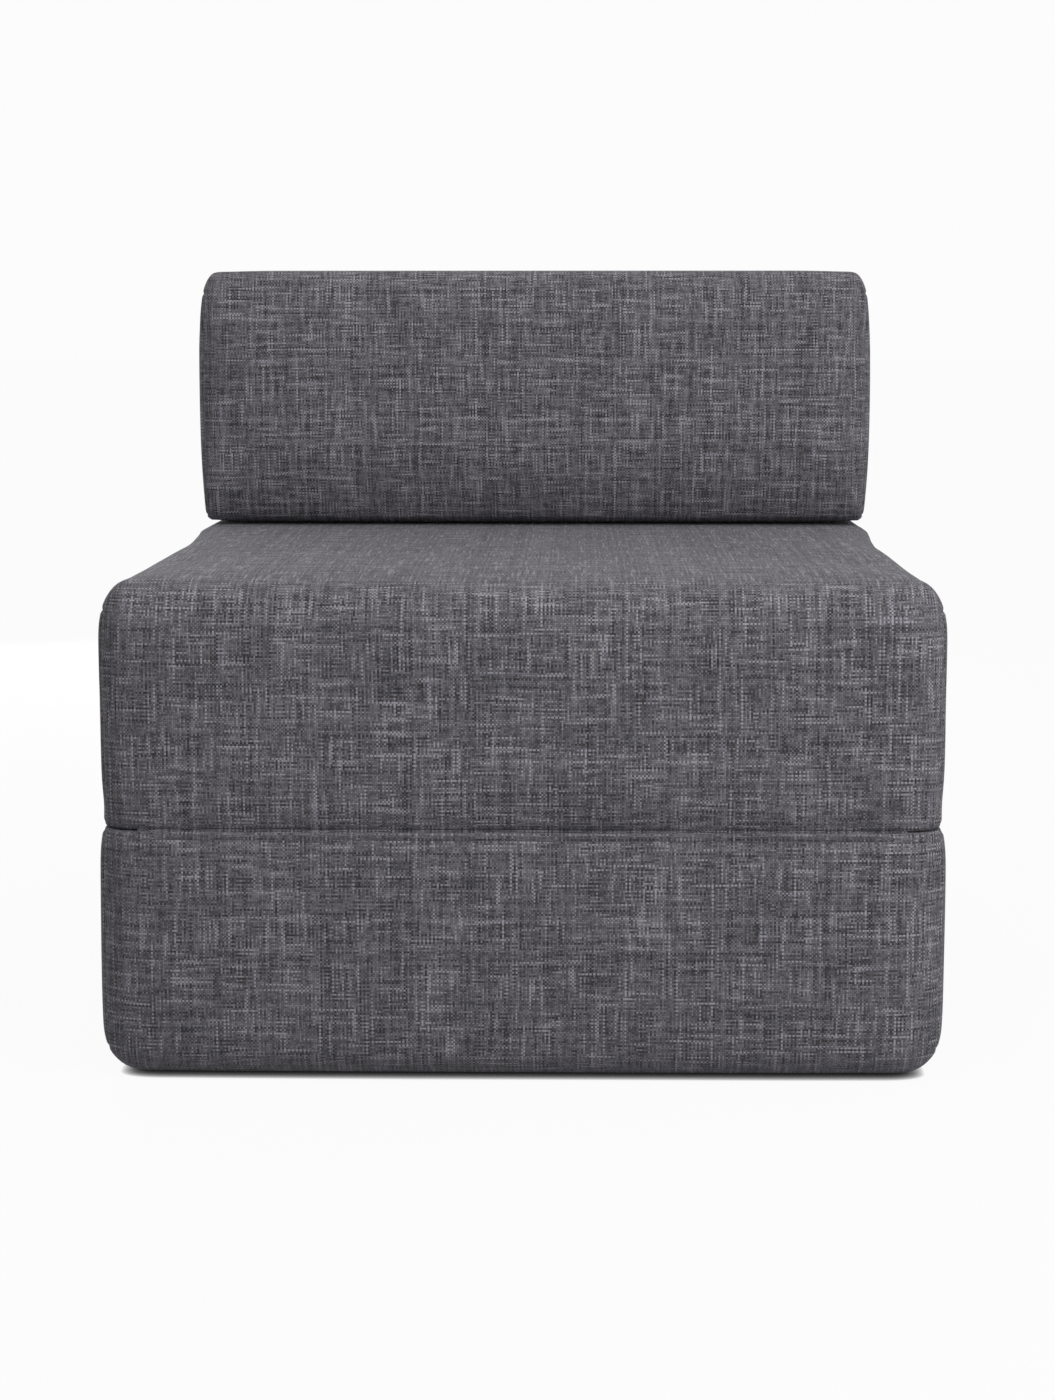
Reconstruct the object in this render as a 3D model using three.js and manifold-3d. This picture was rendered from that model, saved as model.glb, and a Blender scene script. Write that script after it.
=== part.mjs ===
// A convertible chair bed. Two equal foam blocks lie on each other as the seat and are hinged along
// the front crease. A back cushion stands on the rear of the seat and is hinged to it there.
// Millimetres, +Z up, front towards -Y. The origin is on the floor, under the middle of the chair.
import * as THREE from "three";
import { mergeVertices } from "three/addons/utils/BufferGeometryUtils.js";
import Module from "manifold-3d";

const wasm = await Module();
wasm.setup();

// Driving dimensions
const blockWidth = 704; // over the crowned sides
const blockDepth = 900; // front bulge to rear bulge
const blockHeight = 208; // one block, of which the chair has two
const backSetIn = 1; // the back is narrower by this on each side
const backThickness = 200;
const backHeight = 264;

// Build-up of a block, from outside to inside
const coverWall = 2.5;
const waddingThickness = 10;
const layerGap = 0.4; // between cover, wadding and foam
const restGap = 0.6; // between cushions that lie on each other
const sleeveSetBack = 62; // the wadding sleeve ends this far inside each side of its cushion

// Fullness of the covers
const sideCrown = 4;
const frontCrown = 4;
const rearCrown = 2;
const crownPower = 3;

// Edges: how far they come in, and over what height
const topEdge = { out: 34, up: 42 };
const floorEdge = { out: 33, up: 33 };
const creaseEdge = { out: 7, up: 7 };
const backTopEdge = { out: 19, up: 20 };
const backFootEdge = { out: 10, up: 26 };
const leastEdge = 1.5; // an inner layer's edge is never sharper
const noDraw = { by: 0, over: 0 };
const seatFootDraw = { by: 4.5, over: 60 };
const seatTopDraw = { by: 2, over: 90 };
const baseTopDraw = { by: 3, over: 25 };
const backFootDraw = { by: 4, over: 120 };
const blockCorner = 40; // upright corners, seen from above
const backCorner = 26;
const leastCorner = 4;
const seatRise = 3; // crown of the sitting face
const seatRiseOver = 70; // the rise is reached this far in from its edge
const backRise = 2;
const backRiseOver = 40;

// Fineness of the lofted surfaces
const coverGrid = { corner: 4, side: 6, edge: 4, draw: 3, wall: 1 };
const innerGrid = { corner: 2, side: 4, edge: 2, draw: 3, wall: 1 };
const sharpEdge = 10; // an edge no higher than this takes half the steps
const leastRingStep = 0.4;

// Zip fasteners, one across the rear of each cover
const zipSetBack = 52; // from each side of the cushion
const zipTapeHeight = 21;
const zipTapeThickness = 0.9;
const zipCoilHeight = 4.4;
const zipCoilDepth = 1.5;
const zipSlotHeight = 13;
const zipAboveFoot = 46; // middle of the zip, above the underside of its block
const zipGap = 0.3;
const sliderLength = 13;
const sliderHeight = 9.2;
const sliderPlate = 1.1;
const sliderCorner = 2;
const earLength = 4.2;
const earWidth = 1.2;
const earReach = 2.8;
const pullPinRadius = 0.6;
const pullThickness = 1;
const pullLength = 26;
const pullWidth = 6.4;
const pullNeckWidth = 2.2;
const pullNeckLength = 5;
const roundSteps = 16;

// Fabric hinges and the underside
const strapThickness = 1;
const strapHeight = 11;
const strapDip = 2.6; // how far the middle of the strap folds inwards
const strapSetBack = 36; // from each side of the chair
const strapSteps = 6;
const panelSetBack = 52;
const panelCorner = 30;
const overrun = 5; // past a face, for clean cuts

const backWidth = blockWidth - 2 * backSetIn;
const seatBottom = blockHeight + restGap;
const seatTop = seatBottom + blockHeight;
const backBottom = seatTop + restGap;
const backTop = backBottom + backHeight;
const frontY = -blockDepth / 2;
const rearY = blockDepth / 2;

// One cushion: its box, and how each edge of that box is rounded and drawn in.
function cushion(width, yFront, yRear, zBottom, zTop, form) {
  return { width, yFront, yRear, zBottom, zTop, ...form };
}

const base = cushion(blockWidth, frontY, rearY, 0, blockHeight, {
  corner: blockCorner,
  crown: { side: sideCrown, front: frontCrown, rear: rearCrown },
  top: { side: creaseEdge, front: creaseEdge, rear: creaseEdge },
  foot: { side: floorEdge, front: floorEdge, rear: floorEdge },
  topDraw: baseTopDraw,
  footDraw: noDraw,
  rise: 0,
  riseOver: 0,
});

const seat = cushion(blockWidth, frontY, rearY, seatBottom, seatTop, {
  corner: blockCorner,
  crown: { side: sideCrown, front: frontCrown, rear: rearCrown },
  top: { side: topEdge, front: topEdge, rear: creaseEdge },
  foot: { side: creaseEdge, front: creaseEdge, rear: creaseEdge },
  topDraw: seatTopDraw,
  footDraw: seatFootDraw,
  rise: seatRise,
  riseOver: seatRiseOver,
});

const back = cushion(backWidth, rearY - backThickness, rearY, backBottom, backTop, {
  corner: backCorner,
  crown: { side: sideCrown, front: frontCrown, rear: rearCrown },
  top: { side: backTopEdge, front: backTopEdge, rear: backTopEdge },
  foot: { side: backFootEdge, front: backFootEdge, rear: creaseEdge },
  topDraw: noDraw,
  footDraw: backFootDraw,
  rise: backRise,
  riseOver: backRiseOver,
});

// The same cushion, smaller by one layer all round.
function inside(shape, layer) {
  const tighter = (edge) => ({
    out: Math.max(leastEdge, edge.out - layer),
    up: Math.max(leastEdge, edge.up - layer),
  });
  const allTighter = (edges) => ({
    side: tighter(edges.side),
    front: tighter(edges.front),
    rear: tighter(edges.rear),
  });
  return {
    ...shape,
    width: shape.width - 2 * layer,
    yFront: shape.yFront + layer,
    yRear: shape.yRear - layer,
    zBottom: shape.zBottom + layer,
    zTop: shape.zTop - layer,
    corner: Math.max(leastCorner, shape.corner - layer),
    top: allTighter(shape.top),
    foot: allTighter(shape.foot),
  };
}

// Straight across from side to side at the front, the rear and the top, as a wrapped layer lies.
function straightened(shape) {
  return {
    ...shape,
    yFront: shape.yFront + shape.crown.front,
    yRear: shape.yRear - shape.crown.rear,
    zTop: shape.zTop - shape.rise,
    crown: { side: shape.crown.side, front: 0, rear: 0 },
    rise: 0,
  };
}

function roundedBy(edge, distance) {
  if (distance >= edge.up) return 0;
  const left = 1 - distance / edge.up;
  return edge.out * (1 - Math.sqrt(1 - left * left));
}

function drawnBy(draw, distance) {
  if (distance >= draw.over) return 0;
  return draw.by * (1 - distance / draw.over) ** 2;
}

// How far one upright face has come in at height z.
function insetAt(shape, face, z) {
  const fromTop = shape.zTop - shape.rise - z;
  const fromFoot = z - shape.zBottom;
  const rounded = roundedBy(shape.top[face], fromTop) + roundedBy(shape.foot[face], fromFoot);
  return rounded + drawnBy(shape.topDraw, fromTop) + drawnBy(shape.footDraw, fromFoot);
}

// Distances from the face that an edge turns into, close together where the edge curves.
function edgeLevels(edges, draw, grid) {
  const levels = [];
  for (const edge of [edges.side, edges.rear]) {
    const steps = edge.up > sharpEdge ? grid.edge : grid.edge / 2;
    for (let i = 0; i <= steps; i++) {
      const turn = (i / steps) * (Math.PI / 2);
      levels.push(edge.up * (1 - Math.cos(turn)));
    }
  }
  for (let i = 1; i <= grid.draw; i++) {
    levels.push((draw.over * i) / grid.draw);
  }
  return levels;
}

// Heights of the rings, from the underside to the level of the top edge.
function ringHeights(shape, grid) {
  const edgeTop = shape.zTop - shape.rise;
  const foot = edgeLevels(shape.foot, shape.footDraw, grid).map((d) => shape.zBottom + d);
  const head = edgeLevels(shape.top, shape.topDraw, grid).map((d) => edgeTop - d);
  const wallLow = Math.max(...foot);
  const wallHigh = Math.min(...head);
  const wall = [];
  for (let i = 1; i <= grid.wall; i++) {
    wall.push(wallLow + ((wallHigh - wallLow) * i) / (grid.wall + 1));
  }
  const sorted = [...foot, ...wall, ...head].sort((a, b) => a - b);
  const kept = sorted.filter((z, i) => i === 0 || z - sorted[i - 1] > leastRingStep);
  kept[kept.length - 1] = edgeTop;
  return kept;
}

// One closed ring of points at height z, seen from above and running anticlockwise.
function ring(shape, grid, z, extraInset) {
  const sideIn = insetAt(shape, "side", z);
  const frontIn = insetAt(shape, "front", z);
  const rearIn = insetAt(shape, "rear", z);
  const halfWidth = shape.width / 2 - sideIn - extraInset;
  const low = shape.yFront + frontIn + extraInset;
  const high = shape.yRear - rearIn - extraInset;
  const radius = (faceIn) =>
    Math.max(leastCorner, shape.corner - (sideIn + faceIn) / 2 - extraInset);
  const frontRadius = radius(frontIn);
  const rearRadius = radius(rearIn);
  const { side, front, rear } = shape.crown;
  const cornerX = (r) => halfWidth - side - r;
  const lowY = low + front + frontRadius;
  const highY = high - rear - rearRadius;
  const points = [];

  function arc(x, y, r, from) {
    for (let i = 0; i <= grid.corner; i++) {
      const turn = from + (i / grid.corner) * (Math.PI / 2);
      points.push([x + r * Math.cos(turn), y + r * Math.sin(turn)]);
    }
  }
  // The face between two corners bulges by its crown, most in the middle.
  function face(crown, outX, outY, to) {
    const from = points[points.length - 1];
    for (let i = 1; i < grid.side; i++) {
      const along = i / grid.side;
      const bulge = crown * (1 - Math.abs(2 * along - 1) ** crownPower);
      const x = from[0] + (to[0] - from[0]) * along;
      const y = from[1] + (to[1] - from[1]) * along;
      points.push([x + outX * bulge, y + outY * bulge]);
    }
  }

  arc(cornerX(frontRadius), lowY, frontRadius, -Math.PI / 2);
  face(side, 1, 0, [cornerX(rearRadius) + rearRadius, highY]);
  arc(cornerX(rearRadius), highY, rearRadius, 0);
  face(rear, 0, 1, [-cornerX(rearRadius), highY + rearRadius]);
  arc(-cornerX(rearRadius), highY, rearRadius, Math.PI / 2);
  face(side, -1, 0, [-cornerX(frontRadius) - frontRadius, lowY]);
  arc(-cornerX(frontRadius), lowY, frontRadius, Math.PI);
  face(front, 0, -1, [cornerX(frontRadius), lowY - frontRadius]);
  return points.map(([x, y]) => [x, y, z]);
}

function geometryOf(vertices, triangles) {
  const geometry = new THREE.BufferGeometry();
  geometry.setAttribute("position", new THREE.Float32BufferAttribute(vertices.flat(), 3));
  geometry.setIndex(triangles);
  return geometry;
}

// The closed surface of a cushion: rings joined by walls, with a flat face at each end.
function cushionGeometry(shape, grid) {
  const rings = ringHeights(shape, grid).map((z) => ring(shape, grid, z, 0));
  if (shape.rise > 0) {
    const risen = ring(shape, grid, shape.zTop - shape.rise, shape.riseOver);
    rings.push(risen.map(([x, y]) => [x, y, shape.zTop]));
  }
  const count = rings[0].length;
  const triangles = [];
  for (let r = 0; r + 1 < rings.length; r++) {
    for (let i = 0; i < count; i++) {
      const a = r * count + i;
      const b = r * count + ((i + 1) % count);
      triangles.push(a, b, b + count, a, b + count, a + count);
    }
  }
  const outline = rings[0].map(([x, y]) => new THREE.Vector2(x, y));
  const last = (rings.length - 1) * count;
  for (const [a, b, c] of THREE.ShapeUtils.triangulateShape(outline, [])) {
    triangles.push(c, b, a);
  }
  const lid = rings[rings.length - 1].map(([x, y]) => new THREE.Vector2(x, y));
  for (const [a, b, c] of THREE.ShapeUtils.triangulateShape(lid, [])) {
    triangles.push(last + a, last + b, last + c);
  }
  return geometryOf(rings.flat(), triangles);
}

// Joining and cutting
function solidOf(geometry) {
  const bare = geometry.clone();
  bare.deleteAttribute("normal");
  bare.deleteAttribute("uv");
  const merged = mergeVertices(bare);
  const vertProperties = new Float32Array(merged.attributes.position.array);
  const triVerts = new Uint32Array(merged.index.array);
  return new wasm.Manifold(new wasm.Mesh({ numProp: 3, vertProperties, triVerts }));
}

function geometryFrom(solid) {
  const mesh = solid.getMesh();
  const geometry = new THREE.BufferGeometry();
  geometry.setAttribute("position", new THREE.BufferAttribute(mesh.vertProperties, 3));
  geometry.setIndex(new THREE.BufferAttribute(mesh.triVerts, 1));
  geometry.computeVertexNormals();
  return geometry;
}

// A box between two corners.
function block(low, high) {
  const size = high.map((value, i) => value - low[i]);
  const middle = high.map((value, i) => (value + low[i]) / 2);
  return solidOf(new THREE.BoxGeometry(...size).translate(...middle));
}

// A section drawn in the Y-Z plane and run from one X to another.
function sweptAcross(shape, fromX, toX) {
  const geometry = new THREE.ExtrudeGeometry(shape, {
    depth: toX - fromX,
    bevelEnabled: false,
    curveSegments: roundSteps / 2,
  });
  const turned = new THREE.Matrix4().makeBasis(
    new THREE.Vector3(0, 1, 0),
    new THREE.Vector3(0, 0, 1),
    new THREE.Vector3(1, 0, 0),
  );
  return geometry.applyMatrix4(turned).translate(fromX, 0, 0);
}

function pathFrom(points, Kind) {
  return new Kind(points.map(([y, z]) => new THREE.Vector2(y, z)));
}

// The outline of a cushion cut through from front to rear.
function sectionOf(shape, grid) {
  const heights = ringHeights(shape, grid);
  const rearSide = heights.map((z) => [shape.yRear - insetAt(shape, "rear", z), z]);
  const frontSide = heights.map((z) => [shape.yFront + insetAt(shape, "front", z), z]);
  const points = [...rearSide];
  if (shape.rise > 0) {
    const top = shape.zTop - shape.rise;
    points.push([shape.yRear - insetAt(shape, "rear", top) - shape.riseOver, shape.zTop]);
    points.push([shape.yFront + insetAt(shape, "front", top) + shape.riseOver, shape.zTop]);
  }
  return [...points, ...frontSide.reverse()];
}

// Zips
// The outer face of the zip's tape, behind the wall of the cover all along its slot.
function zipPlane(shape) {
  const lowEdge = shape.zBottom + zipAboveFoot - zipTapeHeight / 2;
  const straight = shape.yRear - insetAt(shape, "rear", lowEdge) - shape.crown.rear;
  return straight - coverWall - layerGap;
}

function zipHeight(shape) {
  return shape.zBottom + zipAboveFoot;
}

function zipReach(shape) {
  return shape.width / 2 - zipSetBack;
}

function zipSlot(shape) {
  const z = zipHeight(shape);
  const halfLength = zipReach(shape) + zipGap;
  return block(
    [-halfLength, zipPlane(shape), z - zipSlotHeight / 2],
    [halfLength, shape.yRear + overrun, z + zipSlotHeight / 2],
  );
}

// The tape, which lies behind the edges of the slot, and the closed coil along its middle.
function zipChain(shape) {
  const plane = zipPlane(shape);
  const z = zipHeight(shape);
  const half = zipReach(shape);
  const tape = block(
    [-half - zipSlotHeight / 2, plane - zipTapeThickness, z - zipTapeHeight / 2],
    [half + zipSlotHeight / 2, plane, z + zipTapeHeight / 2],
  );
  const coilSection = new THREE.Shape();
  const top = z + zipCoilHeight / 2;
  const foot = z - zipCoilHeight / 2;
  const shoulder = zipCoilDepth / 2;
  coilSection.moveTo(plane - zipTapeThickness / 2, foot);
  coilSection.lineTo(plane + zipCoilDepth - shoulder, foot);
  coilSection.lineTo(plane + zipCoilDepth, foot + shoulder);
  coilSection.lineTo(plane + zipCoilDepth, top - shoulder);
  coilSection.lineTo(plane + zipCoilDepth - shoulder, top);
  coilSection.lineTo(plane - zipTapeThickness / 2, top);
  coilSection.closePath();
  return tape.add(solidOf(sweptAcross(coilSection, -half, half)));
}

const channelDepth = zipCoilDepth + 2 * zipGap;
const sliderTop = channelDepth + sliderPlate;
const pullAxisOut = sliderTop + earReach / 2;

// The slider rides over the coil. It is drawn about its own middle, with +Y away from the tape.
function zipSlider() {
  const outline = new THREE.Shape();
  const halfLength = sliderLength / 2;
  const halfHeight = sliderHeight / 2;
  outline.moveTo(-halfLength + sliderCorner, -halfHeight);
  outline.lineTo(halfLength - sliderCorner, -halfHeight);
  outline.lineTo(halfLength, -halfHeight + sliderCorner);
  outline.lineTo(halfLength, halfHeight - sliderCorner);
  outline.lineTo(halfLength - sliderCorner, halfHeight);
  outline.lineTo(-halfLength + sliderCorner, halfHeight);
  outline.lineTo(-halfLength, halfHeight - sliderCorner);
  outline.lineTo(-halfLength, -halfHeight + sliderCorner);
  outline.closePath();
  const plate = new THREE.ExtrudeGeometry(outline, {
    depth: sliderTop - zipGap,
    bevelEnabled: false,
  });
  plate.rotateX(Math.PI / 2).translate(0, sliderTop, 0);
  const channel = block(
    [-sliderLength, -zipGap, -zipCoilHeight / 2 - zipGap],
    [sliderLength, channelDepth, zipCoilHeight / 2 + zipGap],
  );
  let slider = solidOf(plate).subtract(channel);
  const earInner = pullNeckWidth / 2 + zipGap;
  for (const way of [-1, 1]) {
    const near = way * earInner;
    const far = way * (earInner + earWidth);
    const ear = block(
      [-earLength / 2, sliderTop - sliderPlate / 2, Math.min(near, far)],
      [earLength / 2, sliderTop + earReach, Math.max(near, far)],
    );
    slider = slider.add(ear);
  }
  return slider.subtract(pinAlongZ(pullPinRadius + zipGap, sliderHeight));
}

// A pin on the pull's own axis.
function pinAlongZ(radius, length) {
  const pin = new THREE.CylinderGeometry(radius, radius, length, roundSteps);
  return solidOf(pin.rotateX(Math.PI / 2).translate(0, pullAxisOut, 0));
}

// The pull hangs between the slider's ears on its own pin and lies along -X when at rest.
function zipPull() {
  const halfNeck = pullNeckWidth / 2;
  const halfWidth = pullWidth / 2;
  const endCentre = -pullLength + halfWidth;
  const outline = new THREE.Shape();
  outline.moveTo(pullThickness / 2, halfNeck);
  outline.lineTo(-pullNeckLength, halfNeck);
  outline.lineTo(-pullNeckLength - halfWidth, halfWidth);
  outline.lineTo(endCentre, halfWidth);
  outline.absarc(endCentre, 0, halfWidth, Math.PI / 2, (3 * Math.PI) / 2, false);
  outline.lineTo(-pullNeckLength - halfWidth, -halfWidth);
  outline.lineTo(-pullNeckLength, -halfNeck);
  outline.lineTo(pullThickness / 2, -halfNeck);
  outline.closePath();
  const tab = new THREE.ExtrudeGeometry(outline, {
    depth: pullThickness,
    bevelEnabled: false,
    curveSegments: roundSteps / 2,
  });
  tab.rotateX(Math.PI / 2).translate(0, pullAxisOut + pullThickness / 2, 0);
  const pinLength = pullNeckWidth + 2 * zipGap + 2 * earWidth;
  return solidOf(tab).add(pinAlongZ(pullPinRadius, pinLength));
}

// Covers, wadding and foam
function cover(shape, extraCut) {
  const outer = solidOf(cushionGeometry(shape, coverGrid));
  const hollow = solidOf(cushionGeometry(inside(shape, coverWall), innerGrid));
  const sewn = outer.subtract(hollow).subtract(zipSlot(shape));
  return extraCut ? sewn.subtract(extraCut) : sewn;
}

// A sleeve of fibre wadding round the foam from front to rear, open at both sides.
function wadding(shape) {
  const outer = straightened(inside(shape, coverWall + layerGap));
  const inner = straightened(inside(shape, coverWall + layerGap + waddingThickness));
  const section = pathFrom(sectionOf(outer, innerGrid), THREE.Shape);
  section.holes.push(pathFrom(sectionOf(inner, innerGrid), THREE.Path));
  const reach = shape.width / 2 - sleeveSetBack;
  const sleeve = solidOf(sweptAcross(section, -reach, reach));
  const z = zipHeight(shape);
  const recess = block(
    [-shape.width, zipPlane(shape) - zipTapeThickness - layerGap, z - zipTapeHeight / 2 - layerGap],
    [shape.width, shape.yRear, z + zipTapeHeight / 2 + layerGap],
  );
  return sleeve.subtract(recess);
}

// The foam fills the wadding and reaches on to the sides of the cover.
function foamCore(shape) {
  const inner = straightened(inside(shape, coverWall + 2 * layerGap + waddingThickness));
  inner.width += 2 * (waddingThickness + layerGap);
  inner.corner = shape.corner;
  return solidOf(cushionGeometry(inner, innerGrid));
}

// A rounded rectangle with its middle over the origin, from the floor up to a height.
function floorPanel(halfWidth, halfDepth, corner, height) {
  const outline = new THREE.Shape();
  outline.absarc(halfWidth - corner, -halfDepth + corner, corner, -Math.PI / 2, 0, false);
  outline.absarc(halfWidth - corner, halfDepth - corner, corner, 0, Math.PI / 2, false);
  outline.absarc(-halfWidth + corner, halfDepth - corner, corner, Math.PI / 2, Math.PI, false);
  outline.absarc(-halfWidth + corner, -halfDepth + corner, corner, Math.PI, 1.5 * Math.PI, false);
  outline.closePath();
  const settings = { depth: height, bevelEnabled: false, curveSegments: roundSteps / 4 };
  return new THREE.ExtrudeGeometry(outline, settings);
}

const panelHalfWidth = blockWidth / 2 - panelSetBack;
const panelHalfDepth = blockDepth / 2 - panelSetBack;

function undersidePanel() {
  return solidOf(floorPanel(panelHalfWidth, panelHalfDepth, panelCorner, coverWall));
}

function undersideOpening() {
  const halfWidth = panelHalfWidth + layerGap;
  const halfDepth = panelHalfDepth + layerGap;
  const cut = floorPanel(halfWidth, halfDepth, panelCorner + layerGap, coverWall + overrun);
  return solidOf(cut.translate(0, 0, -overrun / 2));
}

// A fabric strap sewn to two covers across the valley between them, folded a little inwards.
// It clears the lips of both covers. Out is -1 at the front and 1 at the rear.
function foldStrap(faceName, out, lower, upper, foldZ) {
  const half = strapHeight / 2;
  const faceY = (shape, z) => {
    const edge = faceName === "front" ? shape.yFront : shape.yRear;
    return edge - out * insetAt(shape, faceName, z);
  };
  const lowerY = faceY(lower, foldZ - half) + out * layerGap;
  const upperY = faceY(upper, foldZ + half) + out * layerGap;
  const near = [];
  const far = [];
  for (let i = 0; i <= strapSteps; i++) {
    const along = i / strapSteps;
    const z = foldZ - half + strapHeight * along;
    const straight = lowerY + (upperY - lowerY) * along;
    const y = straight - out * strapDip * Math.sin(Math.PI * along);
    near.push([y, z]);
    far.push([y + out * strapThickness, z]);
  }
  const outline = out > 0 ? [...far, ...near.reverse()] : [...near, ...far.reverse()];
  const reach = blockWidth / 2 - strapSetBack;
  return solidOf(sweptAcross(pathFrom(outline, THREE.Shape), -reach, reach));
}

// Materials
const melange = new THREE.MeshStandardMaterial({ color: 0x5b595e, roughness: 0.95, metalness: 0 });
const strapCloth = new THREE.MeshStandardMaterial({ color: 0x4e4c51, roughness: 0.95, metalness: 0 });
const whiteFibre = new THREE.MeshStandardMaterial({ color: 0xe9e7e2, roughness: 1, metalness: 0 });
const foam = new THREE.MeshStandardMaterial({ color: 0xd9d2b4, roughness: 0.9, metalness: 0 });
const blackGrip = new THREE.MeshStandardMaterial({ color: 0x1f1f21, roughness: 0.85, metalness: 0 });
const zipNylon = new THREE.MeshStandardMaterial({ color: 0x2c2b2f, roughness: 0.6, metalness: 0 });
const zipMetal = new THREE.MeshStandardMaterial({ color: 0x8a8a8e, roughness: 0.35, metalness: 1 });

const chairBed = new THREE.Group();

function addTo(group, name, solid, material) {
  const mesh = new THREE.Mesh(geometryFrom(solid), material);
  mesh.name = name;
  group.add(mesh);
  return mesh;
}

// A cushion and everything that its own zipped cover holds.
function addCushion(name, shape, coverCut) {
  const group = new THREE.Group();
  addTo(group, `${name}_cover`, cover(shape, coverCut), melange);
  addTo(group, `${name}_wadding_sleeve`, wadding(shape), whiteFibre);
  addTo(group, `${name}_foam_core`, foamCore(shape), foam);
  addTo(group, `${name}_zip_chain`, zipChain(shape), zipNylon);
  const runner = new THREE.Group();
  runner.position.set(zipReach(shape) - sliderLength, zipPlane(shape), zipHeight(shape));
  addTo(runner, `${name}_zip_slider`, zipSlider(), zipMetal);
  addTo(runner, `${name}_zip_pull`, zipPull(), zipMetal);
  group.add(runner);
  chairBed.add(group);
}

addCushion("base", base, undersideOpening());
addCushion("seat", seat, null);
addCushion("back", back, null);
addTo(chairBed, "base_underside_panel", undersidePanel(), blackGrip);

const frontFoldZ = blockHeight + restGap / 2;
const rearFoldZ = seatTop + restGap / 2;
addTo(chairBed, "front_fold_strap", foldStrap("front", -1, base, seat, frontFoldZ), strapCloth);
addTo(chairBed, "rear_fold_strap", foldStrap("rear", 1, seat, back, rearFoldZ), strapCloth);

export default chairBed;
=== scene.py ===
"""The looks of a convertible chair bed: two upholstered blocks and a back cushion in charcoal
melange, with their seams, zips, fold straps and filling. Metres, +Z up, front towards -Y."""

import math
from types import SimpleNamespace

import bmesh
import bpy
import numpy as np
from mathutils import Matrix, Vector, noise
from mathutils.kdtree import KDTree


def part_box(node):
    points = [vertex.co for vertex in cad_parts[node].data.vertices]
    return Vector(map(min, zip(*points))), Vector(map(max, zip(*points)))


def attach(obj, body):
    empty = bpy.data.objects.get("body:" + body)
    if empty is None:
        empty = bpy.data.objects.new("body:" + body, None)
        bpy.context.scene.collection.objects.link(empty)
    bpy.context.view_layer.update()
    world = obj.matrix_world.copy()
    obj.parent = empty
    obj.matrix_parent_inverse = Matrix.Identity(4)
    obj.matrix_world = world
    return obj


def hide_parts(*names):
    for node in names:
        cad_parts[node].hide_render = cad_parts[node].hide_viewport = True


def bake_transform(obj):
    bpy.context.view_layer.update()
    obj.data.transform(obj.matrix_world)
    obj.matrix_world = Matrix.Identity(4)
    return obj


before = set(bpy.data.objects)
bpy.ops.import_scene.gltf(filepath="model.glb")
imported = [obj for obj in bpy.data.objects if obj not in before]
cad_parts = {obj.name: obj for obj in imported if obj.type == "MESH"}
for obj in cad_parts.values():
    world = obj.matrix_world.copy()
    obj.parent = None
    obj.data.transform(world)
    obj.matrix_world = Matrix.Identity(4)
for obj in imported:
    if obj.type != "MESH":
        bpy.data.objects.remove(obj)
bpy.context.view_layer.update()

# The camera, fitted to the outline in the photograph
CAMERA_PLACE = (0.0452, -2.8167, 0.6148)
CAMERA_DOWN = math.radians(7.132)
CAMERA_LEFT = math.radians(0.966)
CAMERA_LENS_MM = 75.78
SENSOR_MM = 36

# Fullness of the covers before the cloth is blown up
SIDE_CROWN = 0.0020
SEAT_SIDE_CROWN = 0.0003
FRONT_CROWN = 0.0020
REAR_CROWN = 0.0010
CROWN_POWER = 3
BLOCK_CORNER = 0.040
BACK_CORNER = 0.026
LEAST_CORNER = 0.004

# Edges and draw-ins: how far they come in, and over what height
ROUND_TOP = (0.034, 0.050)
SIDE_TOP = (0.023, 0.043)
ROUND_FLOOR = (0.036, 0.042)
FRONT_FLOOR = (0.044, 0.030)
CREASE = (0.003, 0.004)
FRONT_CREASE_ABOVE = (0.009, 0.030)
FRONT_CREASE_BELOW = (0.001, 0.003)
BACK_TOP = (0.015, 0.040)
BACK_FOOT = (0.005, 0.010)
BACK_FOOT_FRONT = (0.034, 0.055)
NO_DRAW = (0, 0)
NO_RISE = (0, 1)
SEAT_FOOT_DRAW = (0.0045, 0.060)
SEAT_TOP_DRAW = (0.002, 0.090)
BASE_TOP_DRAW = (0.003, 0.025)
BACK_TOP_DRAW = (0.003, 0.160)
BACK_FOOT_DRAW = (0.003, 0.100)
SEAT_SETTLED = 0.0038
BACK_SAG = (-0.0036, 0.030)  # the back's underside hangs down between its edges
BACK_RISE = (0.002, 0.060)
PRESSED_AHEAD = 0.04
PRESSED_SPREAD = 0.20  # over this depth the back's weight presses the seat's edge fuller
PRESSED_SHARE = 0.50
BACK_SETTLED = 0.003

# The mesh of a cover
CELL = 0.012
SMALL_EDGE = 0.010
CORNER_COLUMNS = 6
LID_RINGS = 5
CREASE_RINGS = 2
EDGE_ROWS = 3
SEAM_TURN = math.radians(64)  # the wrapped cloth reaches this far round an upright corner
EDGE_TURN = math.radians(26)  # a side panel reaches this far up its rounded edges
NEAR_SEAM_POWER = 1.7
LID_FACING = 0.9  # a normal that points up or down more than this is on the top or the underside
REAR_FACING = 0.5
TINY = 1e-9
RAY_START = 1  # a place well outside the covers

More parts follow.
